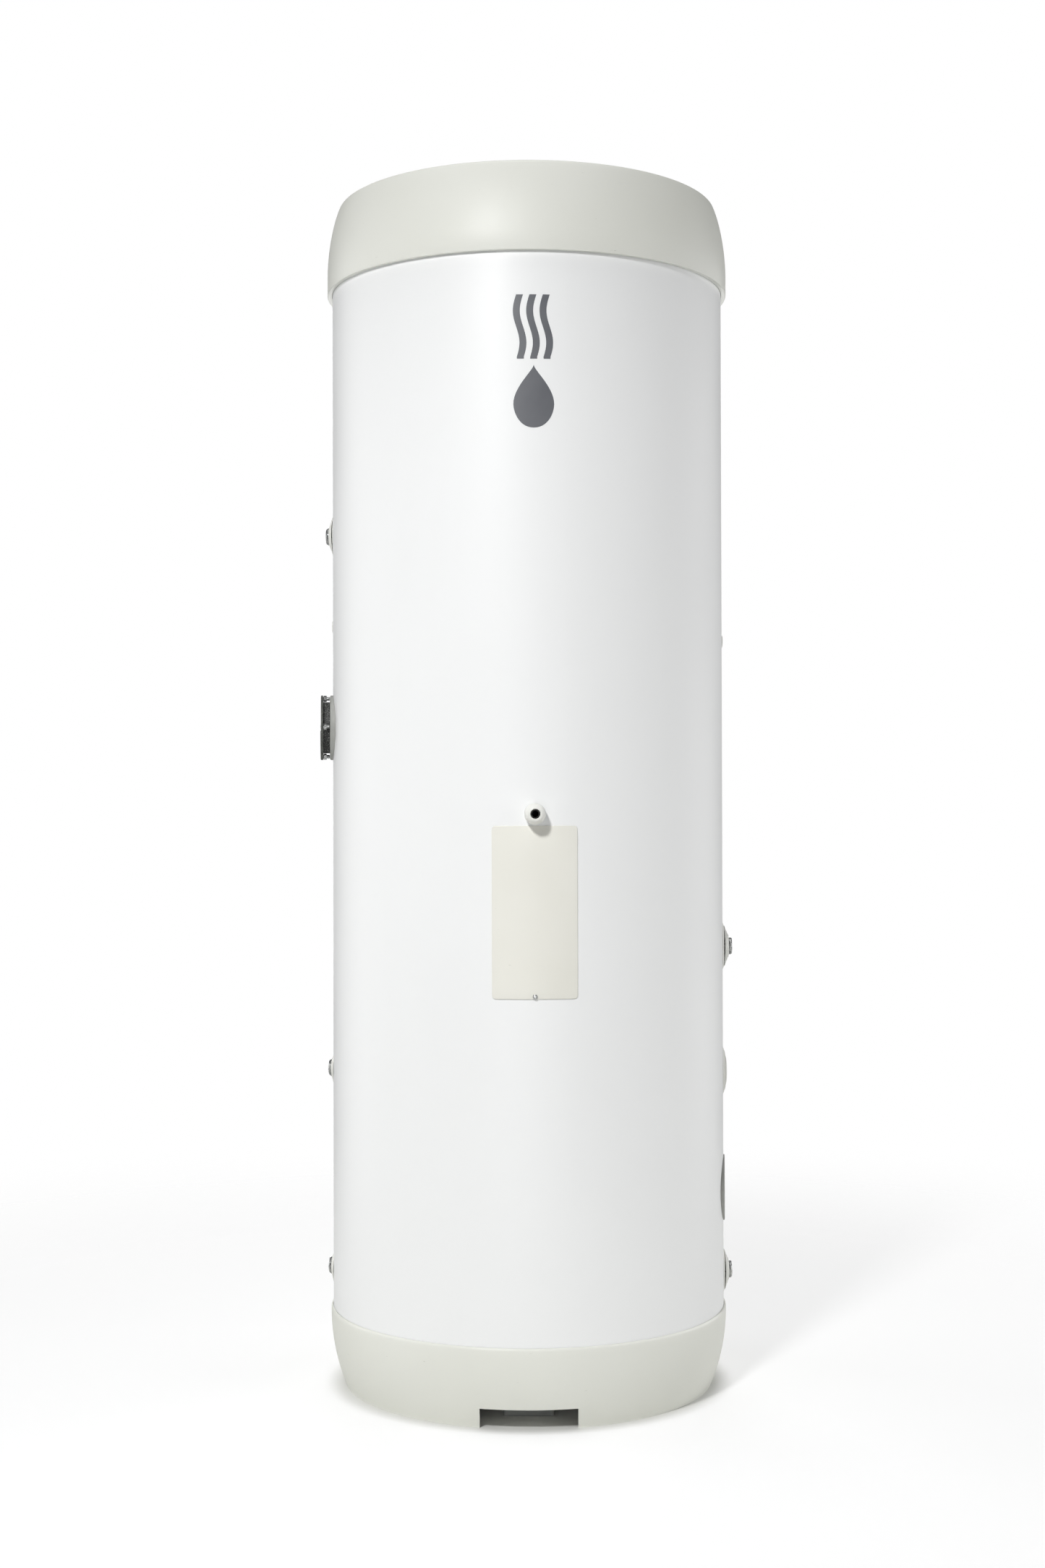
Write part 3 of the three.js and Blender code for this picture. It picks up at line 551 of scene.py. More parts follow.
PORTS = ("hot_outlet", "circulation", "cold_inlet", "coil_flow", "coil_return")
for port in PORTS:
    drilled(jacket, PIPE_HOLE, *where(f"{port}_nipple"))
for side in ("left", "right"):
    drilled(jacket, SENSOR_HOLE, *where(f"{side}_sensor_plug"))
drilled(jacket, GLAND_HOLE, *where("cable_gland_nut"))
drilled(jacket, SCREW_HOLE, *where("access_cover_screw"))
window = block("window_tool", WINDOW_WIDTH, WINDOW_HEIGHT, 40, WINDOW_CORNER)
to_front(window, 0, -WINDOW_DISTANCE * MM, WINDOW_MIDDLE * MM)
work(jacket, window)
jacket_lacquer = surface("jacket_lacquer", tone(245, 246, 246), tone(243, 244, 244), 400, (0.42, 0.48))
relief(jacket_lacquer, texture(jacket_lacquer, "ShaderNodeTexNoise", 3.0), 0.006)
relief(jacket_lacquer, texture(jacket_lacquer, "ShaderNodeTexNoise", 70, (1, 1, 9)), 0.35)
relief(jacket_lacquer, texture(jacket_lacquer, "ShaderNodeTexNoise", 260, (1, 1, 2)), 1.2)
fit(jacket, jacket_lacquer, "jacket_lacquer", "heater", "outer_jacket")

# ---- Seam strip ----
# A narrow strip of the same lacquered sheet, laid over the jacket's seam down the back, between the two
# caps. Its face is pressed in a little inside a thin border.
strip_low, strip_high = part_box("jacket_seam_strip")
strip_size = (strip_high - strip_low) / MM
seam_strip = block("seam_strip", strip_size.x, strip_size.y, strip_size.z, 0)
bpy.ops.object.mode_set(mode="EDIT")
choose(seam_strip, lambda face: face.normal.y > 0.9, "faces")
bpy.ops.mesh.inset(thickness=2.5 * MM, use_boundary=True)
bpy.ops.transform.translate(value=(0, -0.35 * MM, 0))
close_up()
seam_strip.location = middle_of("jacket_seam_strip")
settle(seam_strip)
soften(seam_strip, 0.25)
fit(seam_strip, jacket_lacquer, "jacket_lacquer", "heater", "jacket_seam_strip")

# ---- Top cap ----
# The moulded lid, in the same warm white plastic as the base. A straight rim reaches down over the
# jacket, the side draws in above it, and a soft shoulder turns over into a nearly flat crown.
STRAIGHT_TOP = 1638
JACKET_STOP = 1640.3
CROWN_RADIUS, CROWN_FALL = 267.3, 1.4
cap_low, cap_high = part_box("top_cap")
cap_radius = cap_high.x / MM
cap_rim, cap_top = cap_low.z / MM, cap_high.z / MM
shoulder_start = (cap_radius - 16.8, cap_top - 6)
cap_side = sweep(
    (cap_radius, STRAIGHT_TOP),
    (cap_radius - 0.3, 1672),
    (cap_radius - 7.3, 1712),
    shoulder_start,
    24,
)
shoulder = sweep(
    shoulder_start,
    (cap_radius - 18, cap_top - 3.6),
    (cap_radius - 21, cap_top - 2.2),
    (cap_radius - 30, cap_top - CROWN_FALL),
    8,
)
crown = [(r, cap_top - CROWN_FALL * (r / CROWN_RADIUS) ** 2) for r in (240, 190, 130, 70, 20)]
top_cap = turned(
    "lid",
    [
        *reversed(crown),
        *reversed(shoulder),
        *list(reversed(cap_side))[1:],
        (cap_radius, cap_rim + 1),
        (cap_radius - 0.3, cap_rim + 0.3),
        (cap_radius - 1, cap_rim),
        (jacket_radius + 0.6, cap_rim + 0.5),
        (jacket_radius + 0.6, cap_rim + 3),
        (cap_radius - 3, cap_rim + 5),
        (cap_radius - 3, JACKET_STOP),
        (cap_radius - 11.5, JACKET_STOP),
        (cap_radius - 11.5, 1690),
        (cap_radius - 20.5, cap_top - 12),
        (cap_radius - 33, cap_top - 4.4),
        (20, cap_top - 3),
    ],
    AROUND_CASE,
)
fit(top_cap, cap_plastic, "moulded_caps", "heater", "top_cap")

# ---- Electric heater and service parts ----
# A hexagon brass plug screws into a steel boss on the tank and carries two terminals. Over it, on a
# bent steel plate, sit the thermostat with its dial and its red reset button, the terminal block and
# the earth screw. All of it is behind the access cover.
TERMINAL_OUT = 12
BRACKET_SHEET = 1.5
SLOT_OUT, SLOT_HEIGHT = 36, 720
TERMINALS, TERMINAL_HEIGHT = 4, 719
tank_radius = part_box("tank_barrel")[1].x
heater_azimuth, heater_height = where("heater_plug")
boss = turned(
    "boss_ring",
    [(24.6, 0.6), (34, 0.6), (34, 12.6), (32.6, 14), (25.6, 14), (24.6, 13), (24.6, 0.6)],
    64,
    ring=True,
)
facing_out(boss, heater_azimuth, heater_height, tank_radius)
fit(boss, zinc_steel, "zinc_steel", "heater", "heater_boss")
plug = turned("brass_plug", [(29, 14.3), (29, 24)], 6)
chamfer = [(24.2, -12), (24.2, 14.4), (29.6, 15.4), (29.6, 20.2), (25, 24)]
dome = turned("plug_chamfer_tool", chamfer, 64)
work(plug, dome, "INTERSECT")
thread = turned("plug_thread", [(23, -12), *threaded(24.1, -11, 13, 2.3, 1.2), (23, 15)], 64)
work(plug, thread, "UNION")
for x in (-TERMINAL_OUT, TERMINAL_OUT):
    terminal = turned("plug_terminal", [(4, 23), (4, 25), (2.4, 25.2), (2.4, 30.4), (1.9, 31)], 24)
    terminal.location.x = x * MM
    settle(terminal)
    work(plug, terminal, "UNION")
soften(plug, 0.4, angle=50)
facing_out(plug, heater_azimuth, heater_height, tank_radius)
fit(plug, turned_brass, "brass", "heater", "heater_plug")


def boxed(name, node, corner=0.0):
    """A block that fills a node's box."""
    low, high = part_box(node)
    size = (high - low) / MM
    piece = block(name, *size, corner)
    piece.location = middle_of(node)
    settle(piece)
    return piece


bracket_low, bracket_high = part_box("service_bracket")
bracket = boxed("bent_bracket", "service_bracket")
hollow = block("bracket_tool", 200, 20, 200, 0)
inner_y = bracket_low.y + (BRACKET_SHEET + 10) * MM
inner_z = bracket_high.z - (BRACKET_SHEET + 100) * MM
hollow.location = (0, inner_y, inner_z)
settle(hollow)
work(bracket, hollow)
for x in (-SLOT_OUT, SLOT_OUT):
    slot_hole = turned("slot_tool", [(2.2, -4), (2.2, 4)], 24)
    to_front(slot_hole, x * MM, bracket_low.y, SLOT_HEIGHT * MM)
    work(bracket, slot_hole)
soften(bracket, 0.3)
fit(bracket, zinc_steel, "zinc_steel", "heater", "service_bracket")

black_plastic = surface("black_plastic", tone(44, 45, 46), tone(34, 35, 36), 14, (0.4, 0.55))
relief(black_plastic, texture(black_plastic, "ShaderNodeTexNoise", 0.7), 0.02)
thermostat_body = boxed("thermostat_case", "thermostat_body", 3)
bpy.ops.object.mode_set(mode="EDIT")
choose(thermostat_body, lambda face: face.normal.y < -0.9, "faces")
bpy.ops.mesh.inset(thickness=2.5 * MM)
bpy.ops.mesh.extrude_region_move(TRANSFORM_OT_translate={"value": (0, 0.8 * MM, 0)})
close_up()
soften(thermostat_body, 0.5)
button_middle = middle_of("reset_button")
body_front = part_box("thermostat_body")[0].y
button_hole = turned("button_tool", [(3.5, -5.6), (3.5, 5)], 32)
to_front(button_hole, button_middle.x, body_front, button_middle.z)
work(thermostat_body, button_hole)
fit(thermostat_body, black_plastic, "black_plastic", "heater", "thermostat_body")

white_plastic = surface("white_plastic", tone(236, 236, 231), tone(228, 229, 223), 30, (0.36, 0.46))
relief(white_plastic, texture(white_plastic, "ShaderNodeTexNoise", 1.0), 0.012)
dial = turned(
    "thermostat_knob",
    [(11, 0.3), (12, 0.8), (12, 2.2), (11.6, 2.9), (10.8, 3.2), (4, 3.2)],
    48,
)
grip = block("dial_grip", 3.2, 22, 2.2, 0)
grip.location.z = 4.1 * MM
settle(grip)
soften(grip, 0.5)
work(dial, grip, "UNION")
for turn in range(-120, 121, 30):
    groove = block("dial_tick_tool", 0.5, 2.2, 0.8, 0)
    set_out(groove, math.radians(turn), -9.2 * MM, 3.2 * MM)
    work(dial, groove)
to_front(dial, middle_of("thermostat_dial").x, body_front, button_middle.z)
fit(dial, white_plastic, "white_plastic", "thermostat_dial", "thermostat_dial")

red_plastic = surface("red_plastic", tone(186, 40, 32), tone(164, 30, 24), 5, (0.3, 0.42))
relief(red_plastic, texture(red_plastic, "ShaderNodeTexNoise", 0.6), 0.01)
button = turned("reset_key", [(3.2, -3), (3.2, 3), (3, 3.4), (2.5, 3.6), (1.6, 3.5), (0.6, 3.4)], 32)
to_front(button, button_middle.x, body_front, button_middle.z)
fit(button, red_plastic, "red_plastic", "reset_button", "reset_button")

terminal_block = boxed("terminal_strip", "terminal_block")
block_low, block_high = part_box("terminal_block")
soften(terminal_block, 0.8)
for i in range(TERMINALS):
    x = block_low.x + (block_high.x - block_low.x) * (i + 0.5) / TERMINALS
    well = turned("terminal_well_tool", [(3.4, -3), (3.4, 3)], 24)
    to_front(well, x, block_low.y, TERMINAL_HEIGHT * MM)
    work(terminal_block, well)
for i in range(1, TERMINALS):
    x = block_low.x + (block_high.x - block_low.x) * i / TERMINALS
    groove = block("terminal_groove_tool", 0.8, 4, 40, 0)
    groove.location = (x, block_low.y, TERMINAL_HEIGHT * MM)
    settle(groove)
    work(terminal_block, groove)
fit(terminal_block, white_plastic, "white_plastic", "heater", "terminal_block")

earth_middle = middle_of("earth_screw")
earth = turned("earth_terminal", [(4.6, 0.3), (4.6, 3.6)], 6)
washer = turned("earth_washer", [(5.4, 0.3), (5.4, 1.1), (5.2, 1.3)], 32)
work(earth, washer, "UNION")
shank = turned("earth_shank", [(2.2, 3), *threaded(2.4, 3.2, 6.8, 0.8, 0.3), (1.9, 7)], 24)
work(earth, shank, "UNION")
to_front(earth, earth_middle.x, bracket_low.y, earth_middle.z)
soften(earth, 0.2, angle=50)
fit(earth, turned_brass, "brass", "heater", "earth_screw")

# ---- Access cover ----
# A rectangle of lacquered sheet with round corners and a softly pressed edge, rolled to the jacket's
# curve. It hooks in at the top, and one pan-head screw holds its foot.
COVER_CORNER = 5
COVER_EDGE = 0.9
COVER_STRIPS = 30
SCREW_FIELD = 6
cover_low, cover_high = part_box("access_cover")
cover_middle = middle_of("access_cover")
cover_back = jacket_radius * MM + 0.3 * MM
cover_sheet = -cover_low.y - cover_back
chord = cover_high.x - cover_low.x
cover_width = 2 * cover_back * math.asin(chord / 2 / cover_back)


def rolled(piece, radius):
    """Rolls a flat piece, which lies in the plane of the front at zero depth, round the jacket."""
    pick(piece)
    width = piece.dimensions.x
    roll = piece.modifiers.new("roll", "SIMPLE_DEFORM")
    roll.deform_method = "BEND"
    roll.deform_axis = "Z"
    roll.angle = width / radius
    bpy.ops.object.modifier_apply(modifier=roll.name)
    piece.location.y = -radius
    settle(piece)


def strips(piece, width, count):
    """Divides the piece in edit mode into upright strips, so that it can be rolled smoothly."""
    for i in range(1, count):
        bpy.ops.mesh.select_all(action="SELECT")
        x = width * (i / count - 0.5)
        bpy.ops.mesh.bisect(plane_co=(x, 0, 0), plane_no=(1, 0, 0))


bpy.ops.object.select_all(action="DESELECT")
bpy.ops.mesh.primitive_plane_add(size=1, rotation=(math.pi / 2, 0, 0))
cover = bpy.context.object
cover.name = "service_cover"
cover.scale = (cover_width, cover_high.z - cover_low.z, 1)
settle(cover)
bpy.ops.object.mode_set(mode="EDIT")
bpy.ops.mesh.select_all(action="SELECT")
bpy.ops.mesh.bevel(offset=COVER_CORNER * MM, segments=8, affect="VERTICES")
bpy.ops.mesh.select_all(action="SELECT")
bpy.ops.mesh.extrude_region_move(TRANSFORM_OT_translate={"value": (0, -cover_sheet, 0)})
bpy.ops.mesh.select_all(action="SELECT")
bpy.ops.mesh.normals_make_consistent(inside=False)
choose(cover, lambda edge: all(v.co.y < -cover_sheet * 0.9 for v in edge.verts))
bpy.ops.mesh.bevel(offset=COVER_EDGE * MM, segments=4, affect="EDGES")
strips(cover, cover_width, COVER_STRIPS)
_, screw_height = where("access_cover_screw")
for height in (screw_height - SCREW_FIELD * MM, screw_height + SCREW_FIELD * MM):
    bpy.ops.mesh.select_all(action="SELECT")
    bpy.ops.mesh.bisect(plane_co=(0, 0, height - cover_middle.z), plane_no=(0, 0, 1))
close_up()
rolled(cover, cover_back)
cover.location.z = cover_middle.z
settle(cover)
drilled(cover, 2.2, *where("access_cover_screw"))
cover_lacquer = surface("cover_lacquer", tone(235, 234, 226), tone(232, 231, 222), 120, (0.36, 0.44))
relief(cover_lacquer, texture(cover_lacquer, "ShaderNodeTexNoise", 2.4), 0.008)
scratches = texture(cover_lacquer, "ShaderNodeTexNoise", 2, (5, 1, 1.2), 2.0)
marks(cover_lacquer, scratches, tone(205, 203, 192), 0.77, 0.84)
fit(cover, cover_lacquer, "cover_lacquer", "access_cover", "access_cover")

screw_seat = cover_sheet / MM + 0.6
screw = turned(
    "cover_screw",
    [
        (1.2, -7),
        *threaded(1.95, -6.2, 0, 0.9, 0.45),
        (1.9, screw_seat),
        (3.5, screw_seat),
        (3.5, screw_seat + 0.7),
        (3.2, screw_seat + 1.4),
        (2.5, screw_seat + 1.9),
        (1.4, screw_seat + 2.2),
    ],
    40,
)
for turn in (20, 110):
    arm = block("cross_slot_tool", 0.8, 4.2, 2.4, 0)
    set_out(arm, math.radians(turn), 0, (screw_seat + 2.2) * MM)
    work(screw, arm)
facing_out(screw, *where("access_cover_screw"), jacket_radius * MM)
fit(screw, zinc_steel, "zinc_steel", "access_cover", "access_cover_screw")

# ---- Cable gland ----
# A moulded gland for the supply cable: a threaded body through the jacket with a locknut behind it,
# a black rubber seal, and a clamping nut whose hexagon runs out into a round dome.
gland_place = where("cable_gland_nut")
GLAND_CORNER = 14.7
GLAND_THREAD = 10
NUT_FLATS = 16.3
gland_plastic = surface("gland_plastic", tone(238, 238, 233), tone(231, 232, 226), 12, (0.34, 0.44))
relief(gland_plastic, texture(gland_plastic, "ShaderNodeTexNoise", 0.8), 0.012)
black_rubber = surface("black_rubber", tone(40, 41, 39), tone(27, 28, 26), 5, (0.6, 0.8))
relief(black_rubber, texture(black_rubber, "ShaderNodeTexNoise", 0.6, detail=4.0), 0.05)


def hexagon_nut(name, start, end, chamfer):
    """A hexagon with the corners of its faces turned off, along the upright axis."""
    nut = turned(name, [(GLAND_CORNER, start), (GLAND_CORNER, end)], 6)
    turning = turned(
        "chamfer_tool",
        [
            (GLAND_CORNER - chamfer, start),
            (GLAND_CORNER + 0.2, start + chamfer * 0.6),
            (GLAND_CORNER + 0.2, end - chamfer * 0.6),
            (GLAND_CORNER - chamfer, end),
        ],
        64,
    )
    work(nut, turning, "INTERSECT")
    return nut


body_nut = hexagon_nut("gland_body", 0.3, 6, 1.6)
gland_ridges = threaded(GLAND_THREAD, -13.5, 14, 1.5, 0.8)
body_thread = turned("gland_thread", [(9, -14), *gland_ridges, (9, 16)], 48)
work(body_nut, body_thread, "UNION")
work(body_nut, turned("gland_bore_tool", [(7.2, -20), (7.2, 20)], 48))
facing_out(body_nut, *gland_place, jacket_radius * MM)
fit(body_nut, gland_plastic, "white_plastic", "heater", "cable_gland_body")

locknut = hexagon_nut("gland_locknut", -7.1, -2.1, 1.2)
work(locknut, turned("locknut_tool", [(10.3, -20), (10.3, 20)], 48))
facing_out(locknut, *gland_place, jacket_radius * MM)
fit(locknut, gland_plastic, "white_plastic", "heater", "cable_gland_locknut")

dome_side = sweep((14.6, 12), (14.4, 19), (12.8, 26), (9.4, 27.9), 16)
nut = turned(
    "gland_clamping_nut",
    [(9, 6.3), (13.8, 6.3), (14.6, 7.3), *dome_side, (8.4, 28.4), (7.6, 28.5), (7, 28.4)],
    96,
)
flats = turned("flats_tool", [(NUT_FLATS, 6), (NUT_FLATS, 30)], 6)
work(nut, flats, "INTERSECT")
mouth = [(10.3, 5), (10.3, 17), (6.6, 19), (6.6, 27.6), (7.3, 28.7), (7.3, 30)]
work(nut, turned("mouth_tool", mouth, 96))
soften(nut, 0.25, angle=40)
facing_out(nut, *gland_place, jacket_radius * MM)
fit(nut, gland_plastic, "white_plastic", "gland_nut", "cable_gland_nut")

seal = turned(
    "gland_seal",
    [
        (4.5, 4.5),
        (5, 4),
        (6.35, 4),
        (6.35, 26.6),
        (6.1, 27.1),
        (5.6, 27.3),
        (5.1, 27),
        (4.6, 26.2),
        (4.5, 25),
        (4.5, 4.5),
    ],
    64,
    ring=True,
)
facing_out(seal, *gland_place, jacket_radius * MM)
fit(seal, black_rubber, "black_rubber", "heater", "cable_gland_seal")

# ---- Pipe nipples and rosettes ----
# Plated three-quarter-inch nipples, threaded for a union, come through the jacket at the sides. Each
# has a thin plastic ring that lies on the jacket's curve, with a flat stepped cone over it.
NIPPLE_RADIUS = 13.2
NIPPLE_BORE = 10
NIPPLE_ROOT, NIPPLE_END = -46, 14.5
NIPPLE_HOLE = 13.7
ROSETTE_RADIUS = 35


def rosette_ring(name, bore):
    """The thin ring of a rosette, rolled to the jacket's curve and still at the front."""
    ring = turned(
        name,
        [
            (bore, 0.1),
            (24, 0.1),
            (ROSETTE_RADIUS, 0.1),
            (ROSETTE_RADIUS, 0.5),
            (34.6, 1),
            (31.8, 2.1),
            (31, 2.3),
            (24, 2.3),
            (bore, 2.3),
            (bore, 0.1),
        ],
        96,
        ring=True,
    )
    ring.rotation_euler = (math.pi / 2, 0, 0)
    settle(ring)
    rolled(ring, jacket_radius * MM)
    return ring


def on_jacket(piece, azimuth, height):
    """Moves a piece from the front of the jacket at floor height to its place."""
    piece.matrix_world = Matrix.Translation((0, 0, height)) @ Matrix.Rotation(azimuth, 4, "Z")
    settle(piece)


def together(piece, other):
    """Makes a second piece part of the first."""
    pick(piece)
    other.select_set(True)
    bpy.ops.object.join()


for port in PORTS:
    azimuth, height = where(f"{port}_nipple")
    nipple = turned(
        f"{port}_pipe_end",
        [
            (NIPPLE_BORE, NIPPLE_ROOT),
            (NIPPLE_RADIUS, NIPPLE_ROOT),
            *threaded(NIPPLE_RADIUS, -1.5, 13, 1.81, 1.0),
            (NIPPLE_RADIUS - 1.2, NIPPLE_END - 0.4),
            (NIPPLE_RADIUS - 1.6, NIPPLE_END),
            (NIPPLE_BORE + 0.5, NIPPLE_END),
            (NIPPLE_BORE, NIPPLE_END - 0.5),
            (NIPPLE_BORE, NIPPLE_ROOT),
        ],
        64,
        ring=True,
    )
    facing_out(nipple, azimuth, height, jacket_radius * MM)
    fit(nipple, zinc_steel, "zinc_steel", "heater", f"{port}_nipple")

    ring = rosette_ring(f"{port}_collar", NIPPLE_HOLE)
    on_jacket(ring, azimuth, height)
    cone = turned(
        "rosette_cone",
        [
            (30, 2.5),
            (30.1, 3.2),
            (29.6, 3.9),
            (27.5, 4.5),
            (26.4, 4.6),
            (26.2, 5.0),
            (21.8, 6.6),
            (21.5, 7.1),
            (17.6, 8.3),
            (17.2, 9),
            (16.4, 9.4),
            (14.4, 9.4),
            (NIPPLE_HOLE, 8.8),
            (NIPPLE_HOLE, 7.4),
            (28.6, 2.5),
            (30, 2.5),
        ],
        96,
        ring=True,
    )
    facing_out(cone, azimuth, height, jacket_radius * MM)
    together(ring, cone)
    fit(ring, white_plastic, "white_plastic", "heater", f"{port}_rosette")

blank_azimuth, blank_height = where("blank_port_cap")
blank = rosette_ring("blank_port_lid", 24)
on_jacket(blank, blank_azimuth, blank_height)
lid = turned(
    "blank_lid",
    [(4, -1), (29.4, -1), (30, 0), (30, 2.4), (29.5, 3), (24, 4), (20, 5.2), (10, 6), (3, 6.2)],
    96,
)
facing_out(lid, blank_azimuth, blank_height, jacket_radius * MM)
together(blank, lid)
fit(blank, white_plastic, "white_plastic", "heater", "blank_port_cap")

# ---- Sensor plugs ----
# Small plugs of white plastic, one on each side. Each is pushed into a hole in the jacket, over one of
# the two sensor pockets, and its low round head lies on the sheet.
for side in ("left", "right"):
    plug = turned(
        f"{side}_pocket_plug",
        [(6, -6), (6.6, -5), (7, -3.8), (7, 0.3), (9, 0.3), (9, 1), (8.6, 1.6), (7.8, 1.9), (2, 2)],
        48,
    )
    facing_out(plug, *where(f"{side}_sensor_plug"), jacket_radius * MM)
    fit(plug, white_plastic, "white_plastic", "heater", f"{side}_sensor_plug")

# ---- Side flanges ----
# On the left a dark plate is bolted over a thick rubber gasket with a diamond tread, on a grey ring
# that sits on the jacket. On the right a plain grey cover closes the second opening.
FLANGE_RADIUS = 48
GASKET_RADIUS = 38
GASKET_BACK = 4.8
BOLT_HOLE = 3.3
flange_azimuth, flange_height = where("side_flange_plate")
grey_plastic = surface("grey_plastic", tone(166, 167, 163), tone(154, 155, 151), 20, (0.45, 0.6))
relief(grey_plastic, texture(grey_plastic, "ShaderNodeTexNoise", 0.8), 0.02)


def seated(piece):
    """Cuts the back of a piece to the jacket's curve."""
    inside_jacket = turned(
        "jacket_core_tool",
        [(jacket_radius + 0.1, 0), (jacket_radius + 0.1, cap_rim)],
        AROUND_CASE * 2,
    )
    work(piece, inside_jacket)


flange_ring = turned(
    "flange_ring",
    [
        (30, -5),
        (FLANGE_RADIUS, -5),
        (FLANGE_RADIUS, 3),
        (FLANGE_RADIUS - 0.4, 3.5),
        (FLANGE_RADIUS - 1.4, 4.4),
        (FLANGE_RADIUS - 2, 4.5),
        (31, 4.5),
        (30, 3.6),
        (30, -5),
    ],
    96,
    ring=True,
)
facing_out(flange_ring, flange_azimuth, flange_height, jacket_radius * MM)
seated(flange_ring)
fit(flange_ring, grey_plastic, "grey_plastic", "heater", "side_flange_ring")

TREAD_TEETH = 120
TREAD_RINGS = 9
TREAD_STEP = 1.15
TREAD_SHARE = 0.975
tread = [(GASKET_RADIUS, GASKET_BACK + TREAD_STEP * i) for i in range(TREAD_RINGS)]
gasket_profile = [(20, GASKET_BACK), *tread, (20, 14), (20, GASKET_BACK)]
gasket = turned("flange_gasket", gasket_profile, TREAD_TEETH, ring=True)
bpy.ops.object.mode_set(mode="EDIT")
bpy.ops.mesh.select_mode(type="VERT")
bpy.ops.mesh.select_all(action="DESELECT")
gasket_mesh = bmesh.from_edit_mesh(gasket.data)
for vertex in gasket_mesh.verts:
    tooth = round(math.atan2(vertex.co.y, vertex.co.x) / (2 * math.pi) * TREAD_TEETH)
    course = round((vertex.co.z / MM - GASKET_BACK) / TREAD_STEP)
    on_side = vertex.co.xy.length > 30 * MM and 0 < course < TREAD_RINGS - 1
    vertex.select_set(on_side and (tooth + course) % 2 == 0)
gasket_mesh.select_flush_mode()
bmesh.update_edit_mesh(gasket.data)
bpy.ops.transform.resize(value=(TREAD_SHARE, TREAD_SHARE, 1), center_override=(0, 0, 0))
close_up()
facing_out(gasket, flange_azimuth, flange_height, jacket_radius * MM)
tread_rubber = surface("tread_rubber", tone(48, 49, 47), tone(30, 31, 30), 4, (0.45, 0.7))
relief(tread_rubber, texture(tread_rubber, "ShaderNodeTexNoise", 0.7, detail=4.0), 0.08)
specks = texture(tread_rubber, "ShaderNodeTexNoise", 1.1, detail=3.0)
marks(tread_rubber, specks, tone(178, 180, 176), 0.57, 0.66)
fit(gasket, tread_rubber, "black_rubber", "heater", "side_flange_gasket")

plate = turned(
    "flange_plate",
    [
        (FLANGE_RADIUS - 1.4, 14.3),
        (FLANGE_RADIUS, 14.9),
        (FLANGE_RADIUS, 17.1),
        (FLANGE_RADIUS - 0.6, 17.7),
    ],
    96,
)
thick_part = turned("plate_pad", [(47.9, 14.5), (47.9, 17.6), (47.3, 18.3)], 96)
above = block("plate_pad_tool", 120, 60, 20, 0)
above.location = (0, 24 * MM, 16 * MM)
settle(above)
work(thick_part, above)
work(plate, thick_part, "UNION")
bolt_spots = []
along = Vector((math.cos(flange_azimuth), math.sin(flange_azimuth), 0))
for i in range(4):
    middle = middle_of(f"side_flange_bolt_{i + 1}")
    bolt_spots.append((middle.dot(along), middle.z - flange_height))
for x, y in bolt_spots:
    hole = turned("bolt_hole_tool", [(BOLT_HOLE, 10), (BOLT_HOLE, 30)], 24)
    hole.location = (x, y, 0)
    settle(hole)
    work(plate, hole)
soften(plate, 0.2, angle=50)
facing_out(plate, flange_azimuth, flange_height, jacket_radius * MM)
dark_plate = surface("dark_plate", tone(92, 94, 90), tone(70, 72, 68), 6, (0.45, 0.65), 0.3)
relief(dark_plate, texture(dark_plate, "ShaderNodeTexVoronoi", 1.3), 0.12, "Distance")
wear = texture(dark_plate, "ShaderNodeTexNoise", 1.2, detail=4.0)
marks(dark_plate, wear, tone(136, 138, 132), 0.56, 0.68)
fit(plate, dark_plate, "dark_plate", "heater", "side_flange_plate")

for i, (x, y) in enumerate(bolt_spots):
    bolt = turned(f"flange_bolt_{i + 1}", [(4.6, 9.3), (4.6, 13.9)], 6)
    rounding = turned("nut_tool", [(4, 9.3), (4.7, 9.9), (4.7, 13.3), (4, 13.9)], 32)
    work(bolt, rounding, "INTERSECT")
    shank = turned("bolt_shank", [(2.4, 4.9), *threaded(2.9, 5.1, 17.6, 1.0, 0.4), (2.2, 18)], 24)
    work(bolt, shank, "UNION")
    bolt.location = (x, y, 0)
    settle(bolt)
    facing_out(bolt, flange_azimuth, flange_height, jacket_radius * MM)
    fit(bolt, zinc_steel, "zinc_steel", "heater", f"side_flange_bolt_{i + 1}")

right_cover = turned(
    "right_opening_cover",
    [
        (4, -5),
        (FLANGE_RADIUS, -5),
        (FLANGE_RADIUS, 1),
        (FLANGE_RADIUS - 0.4, 1.6),
        (FLANGE_RADIUS - 1.2, 1.9),
        (FLANGE_RADIUS - 2, 2),
        (38, 2),
        (37.4, 1.6),
        (4, 1.6),
    ],
    96,
)
facing_out(right_cover, *where("right_flange_cover"), jacket_radius * MM)
seated(right_cover)
fit(right_cover, grey_plastic, "grey_plastic", "heater", "right_flange_cover")

# ---- Emblem ----
# A dark grey foil sign near the top of the jacket: three waves of warmth rising from a drop of water.
# It is cut from thin film and stuck on the lacquer.
EMBLEM_LOW, EMBLEM_HIGH = 1367, 1549
EMBLEM_WIDTH = 55
DROP_HEIGHT = 86
DROP_HANDLE = 8
WAVE_COUNT = 3
WAVE_WIDTH = 9.5
WAVE_SWING = 4.5
WAVE_GAP = 8
WAVE_STEPS = 32
FILM = 0.15

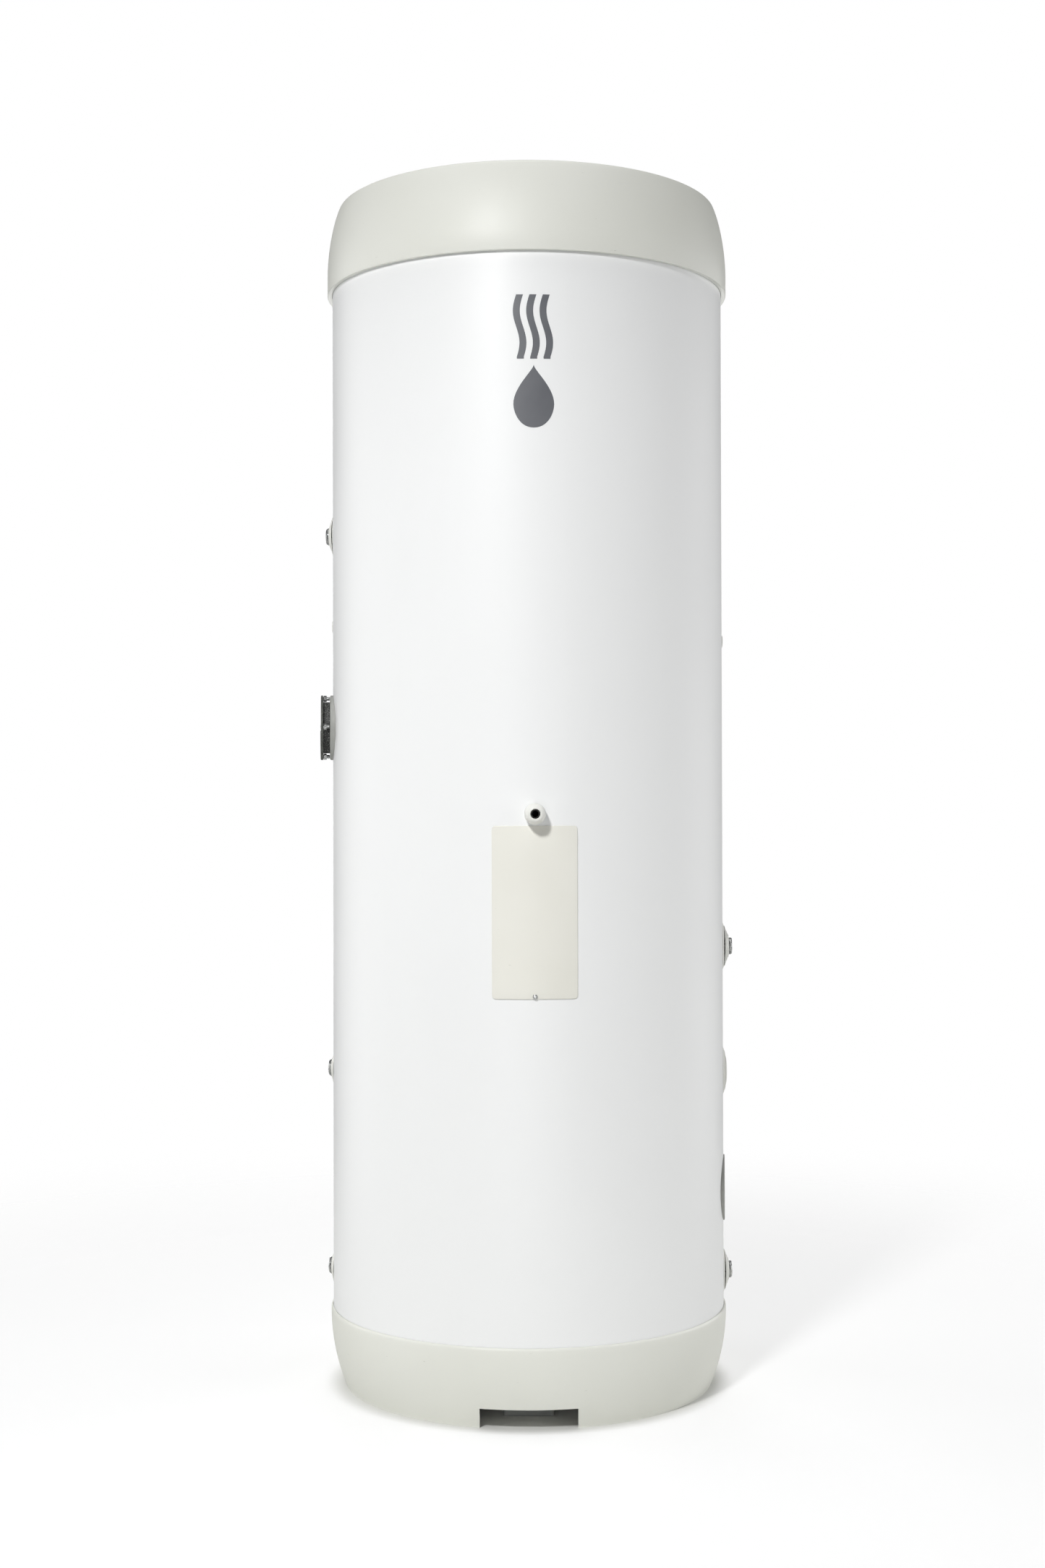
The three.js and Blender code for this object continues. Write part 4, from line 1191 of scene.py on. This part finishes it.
bpy.ops.object.select_all(action="DESELECT")
bpy.ops.curve.primitive_bezier_circle_add(radius=EMBLEM_WIDTH / 2 * MM)
emblem = bpy.context.object
emblem.name = "jacket_emblem"
emblem.data.dimensions = "2D"
emblem.data.fill_mode = "BOTH"
emblem.data.resolution_u = 16
points = emblem.data.splines[0].bezier_points
tip = max(points, key=lambda point: point.co.y)
tip.co.y = (DROP_HEIGHT - EMBLEM_WIDTH / 2) * MM
tip.handle_left_type = tip.handle_right_type = "FREE"
tip.handle_left = tip.handle_right = tip.co - Vector((0, DROP_HANDLE * MM, 0))
bpy.ops.object.convert(target="MESH")
emblem = bpy.context.object
emblem.location.z = (EMBLEM_LOW + EMBLEM_WIDTH / 2) * MM
emblem.rotation_euler.x = math.pi / 2
settle(emblem)

wave_low = EMBLEM_LOW + DROP_HEIGHT + WAVE_GAP
wave_rise = (EMBLEM_HIGH - wave_low) / WAVE_STEPS
lean = [math.sin(2 * math.pi * step / WAVE_STEPS) for step in range(WAVE_STEPS + 1)]
for i in range(WAVE_COUNT):
    x = (EMBLEM_WIDTH / 2 - WAVE_WIDTH / 2 - WAVE_SWING) * (i - 1)
    bpy.ops.object.select_all(action="DESELECT")
    bpy.ops.mesh.primitive_plane_add(size=1, rotation=(math.pi / 2, 0, 0))
    wave = bpy.context.object
    wave.scale = (WAVE_WIDTH * MM, wave_rise * MM, 1)
    wave.location = (x * MM, 0, (wave_low + wave_rise / 2) * MM)
    settle(wave)
    bpy.ops.object.mode_set(mode="EDIT")
    top = (wave_low + wave_rise * 0.9) * MM
    choose(wave, lambda edge: all(v.co.z > top for v in edge.verts))
    for step in range(1, WAVE_STEPS):
        drift = WAVE_SWING * (lean[step + 1] - lean[step])
        climb = (drift * MM, 0, wave_rise * MM)
        bpy.ops.mesh.extrude_region_move(TRANSFORM_OT_translate={"value": climb})
    close_up()
    together(emblem, wave)
pick(emblem)
bpy.ops.object.mode_set(mode="EDIT")
bpy.ops.mesh.select_all(action="SELECT")
strips(emblem, EMBLEM_WIDTH * MM, 12)
bpy.ops.mesh.select_all(action="SELECT")
bpy.ops.mesh.extrude_region_move(TRANSFORM_OT_translate={"value": (0, -FILM * MM, 0)})
close_up()
rolled(emblem, (jacket_radius + 0.03) * MM)
emblem_film = surface("emblem_film", tone(104, 106, 111), tone(98, 100, 105), 40, (0.4, 0.5))
relief(emblem_film, texture(emblem_film, "ShaderNodeTexNoise", 1.5), 0.01)
fit(emblem, emblem_film, "dark_plate", "heater")
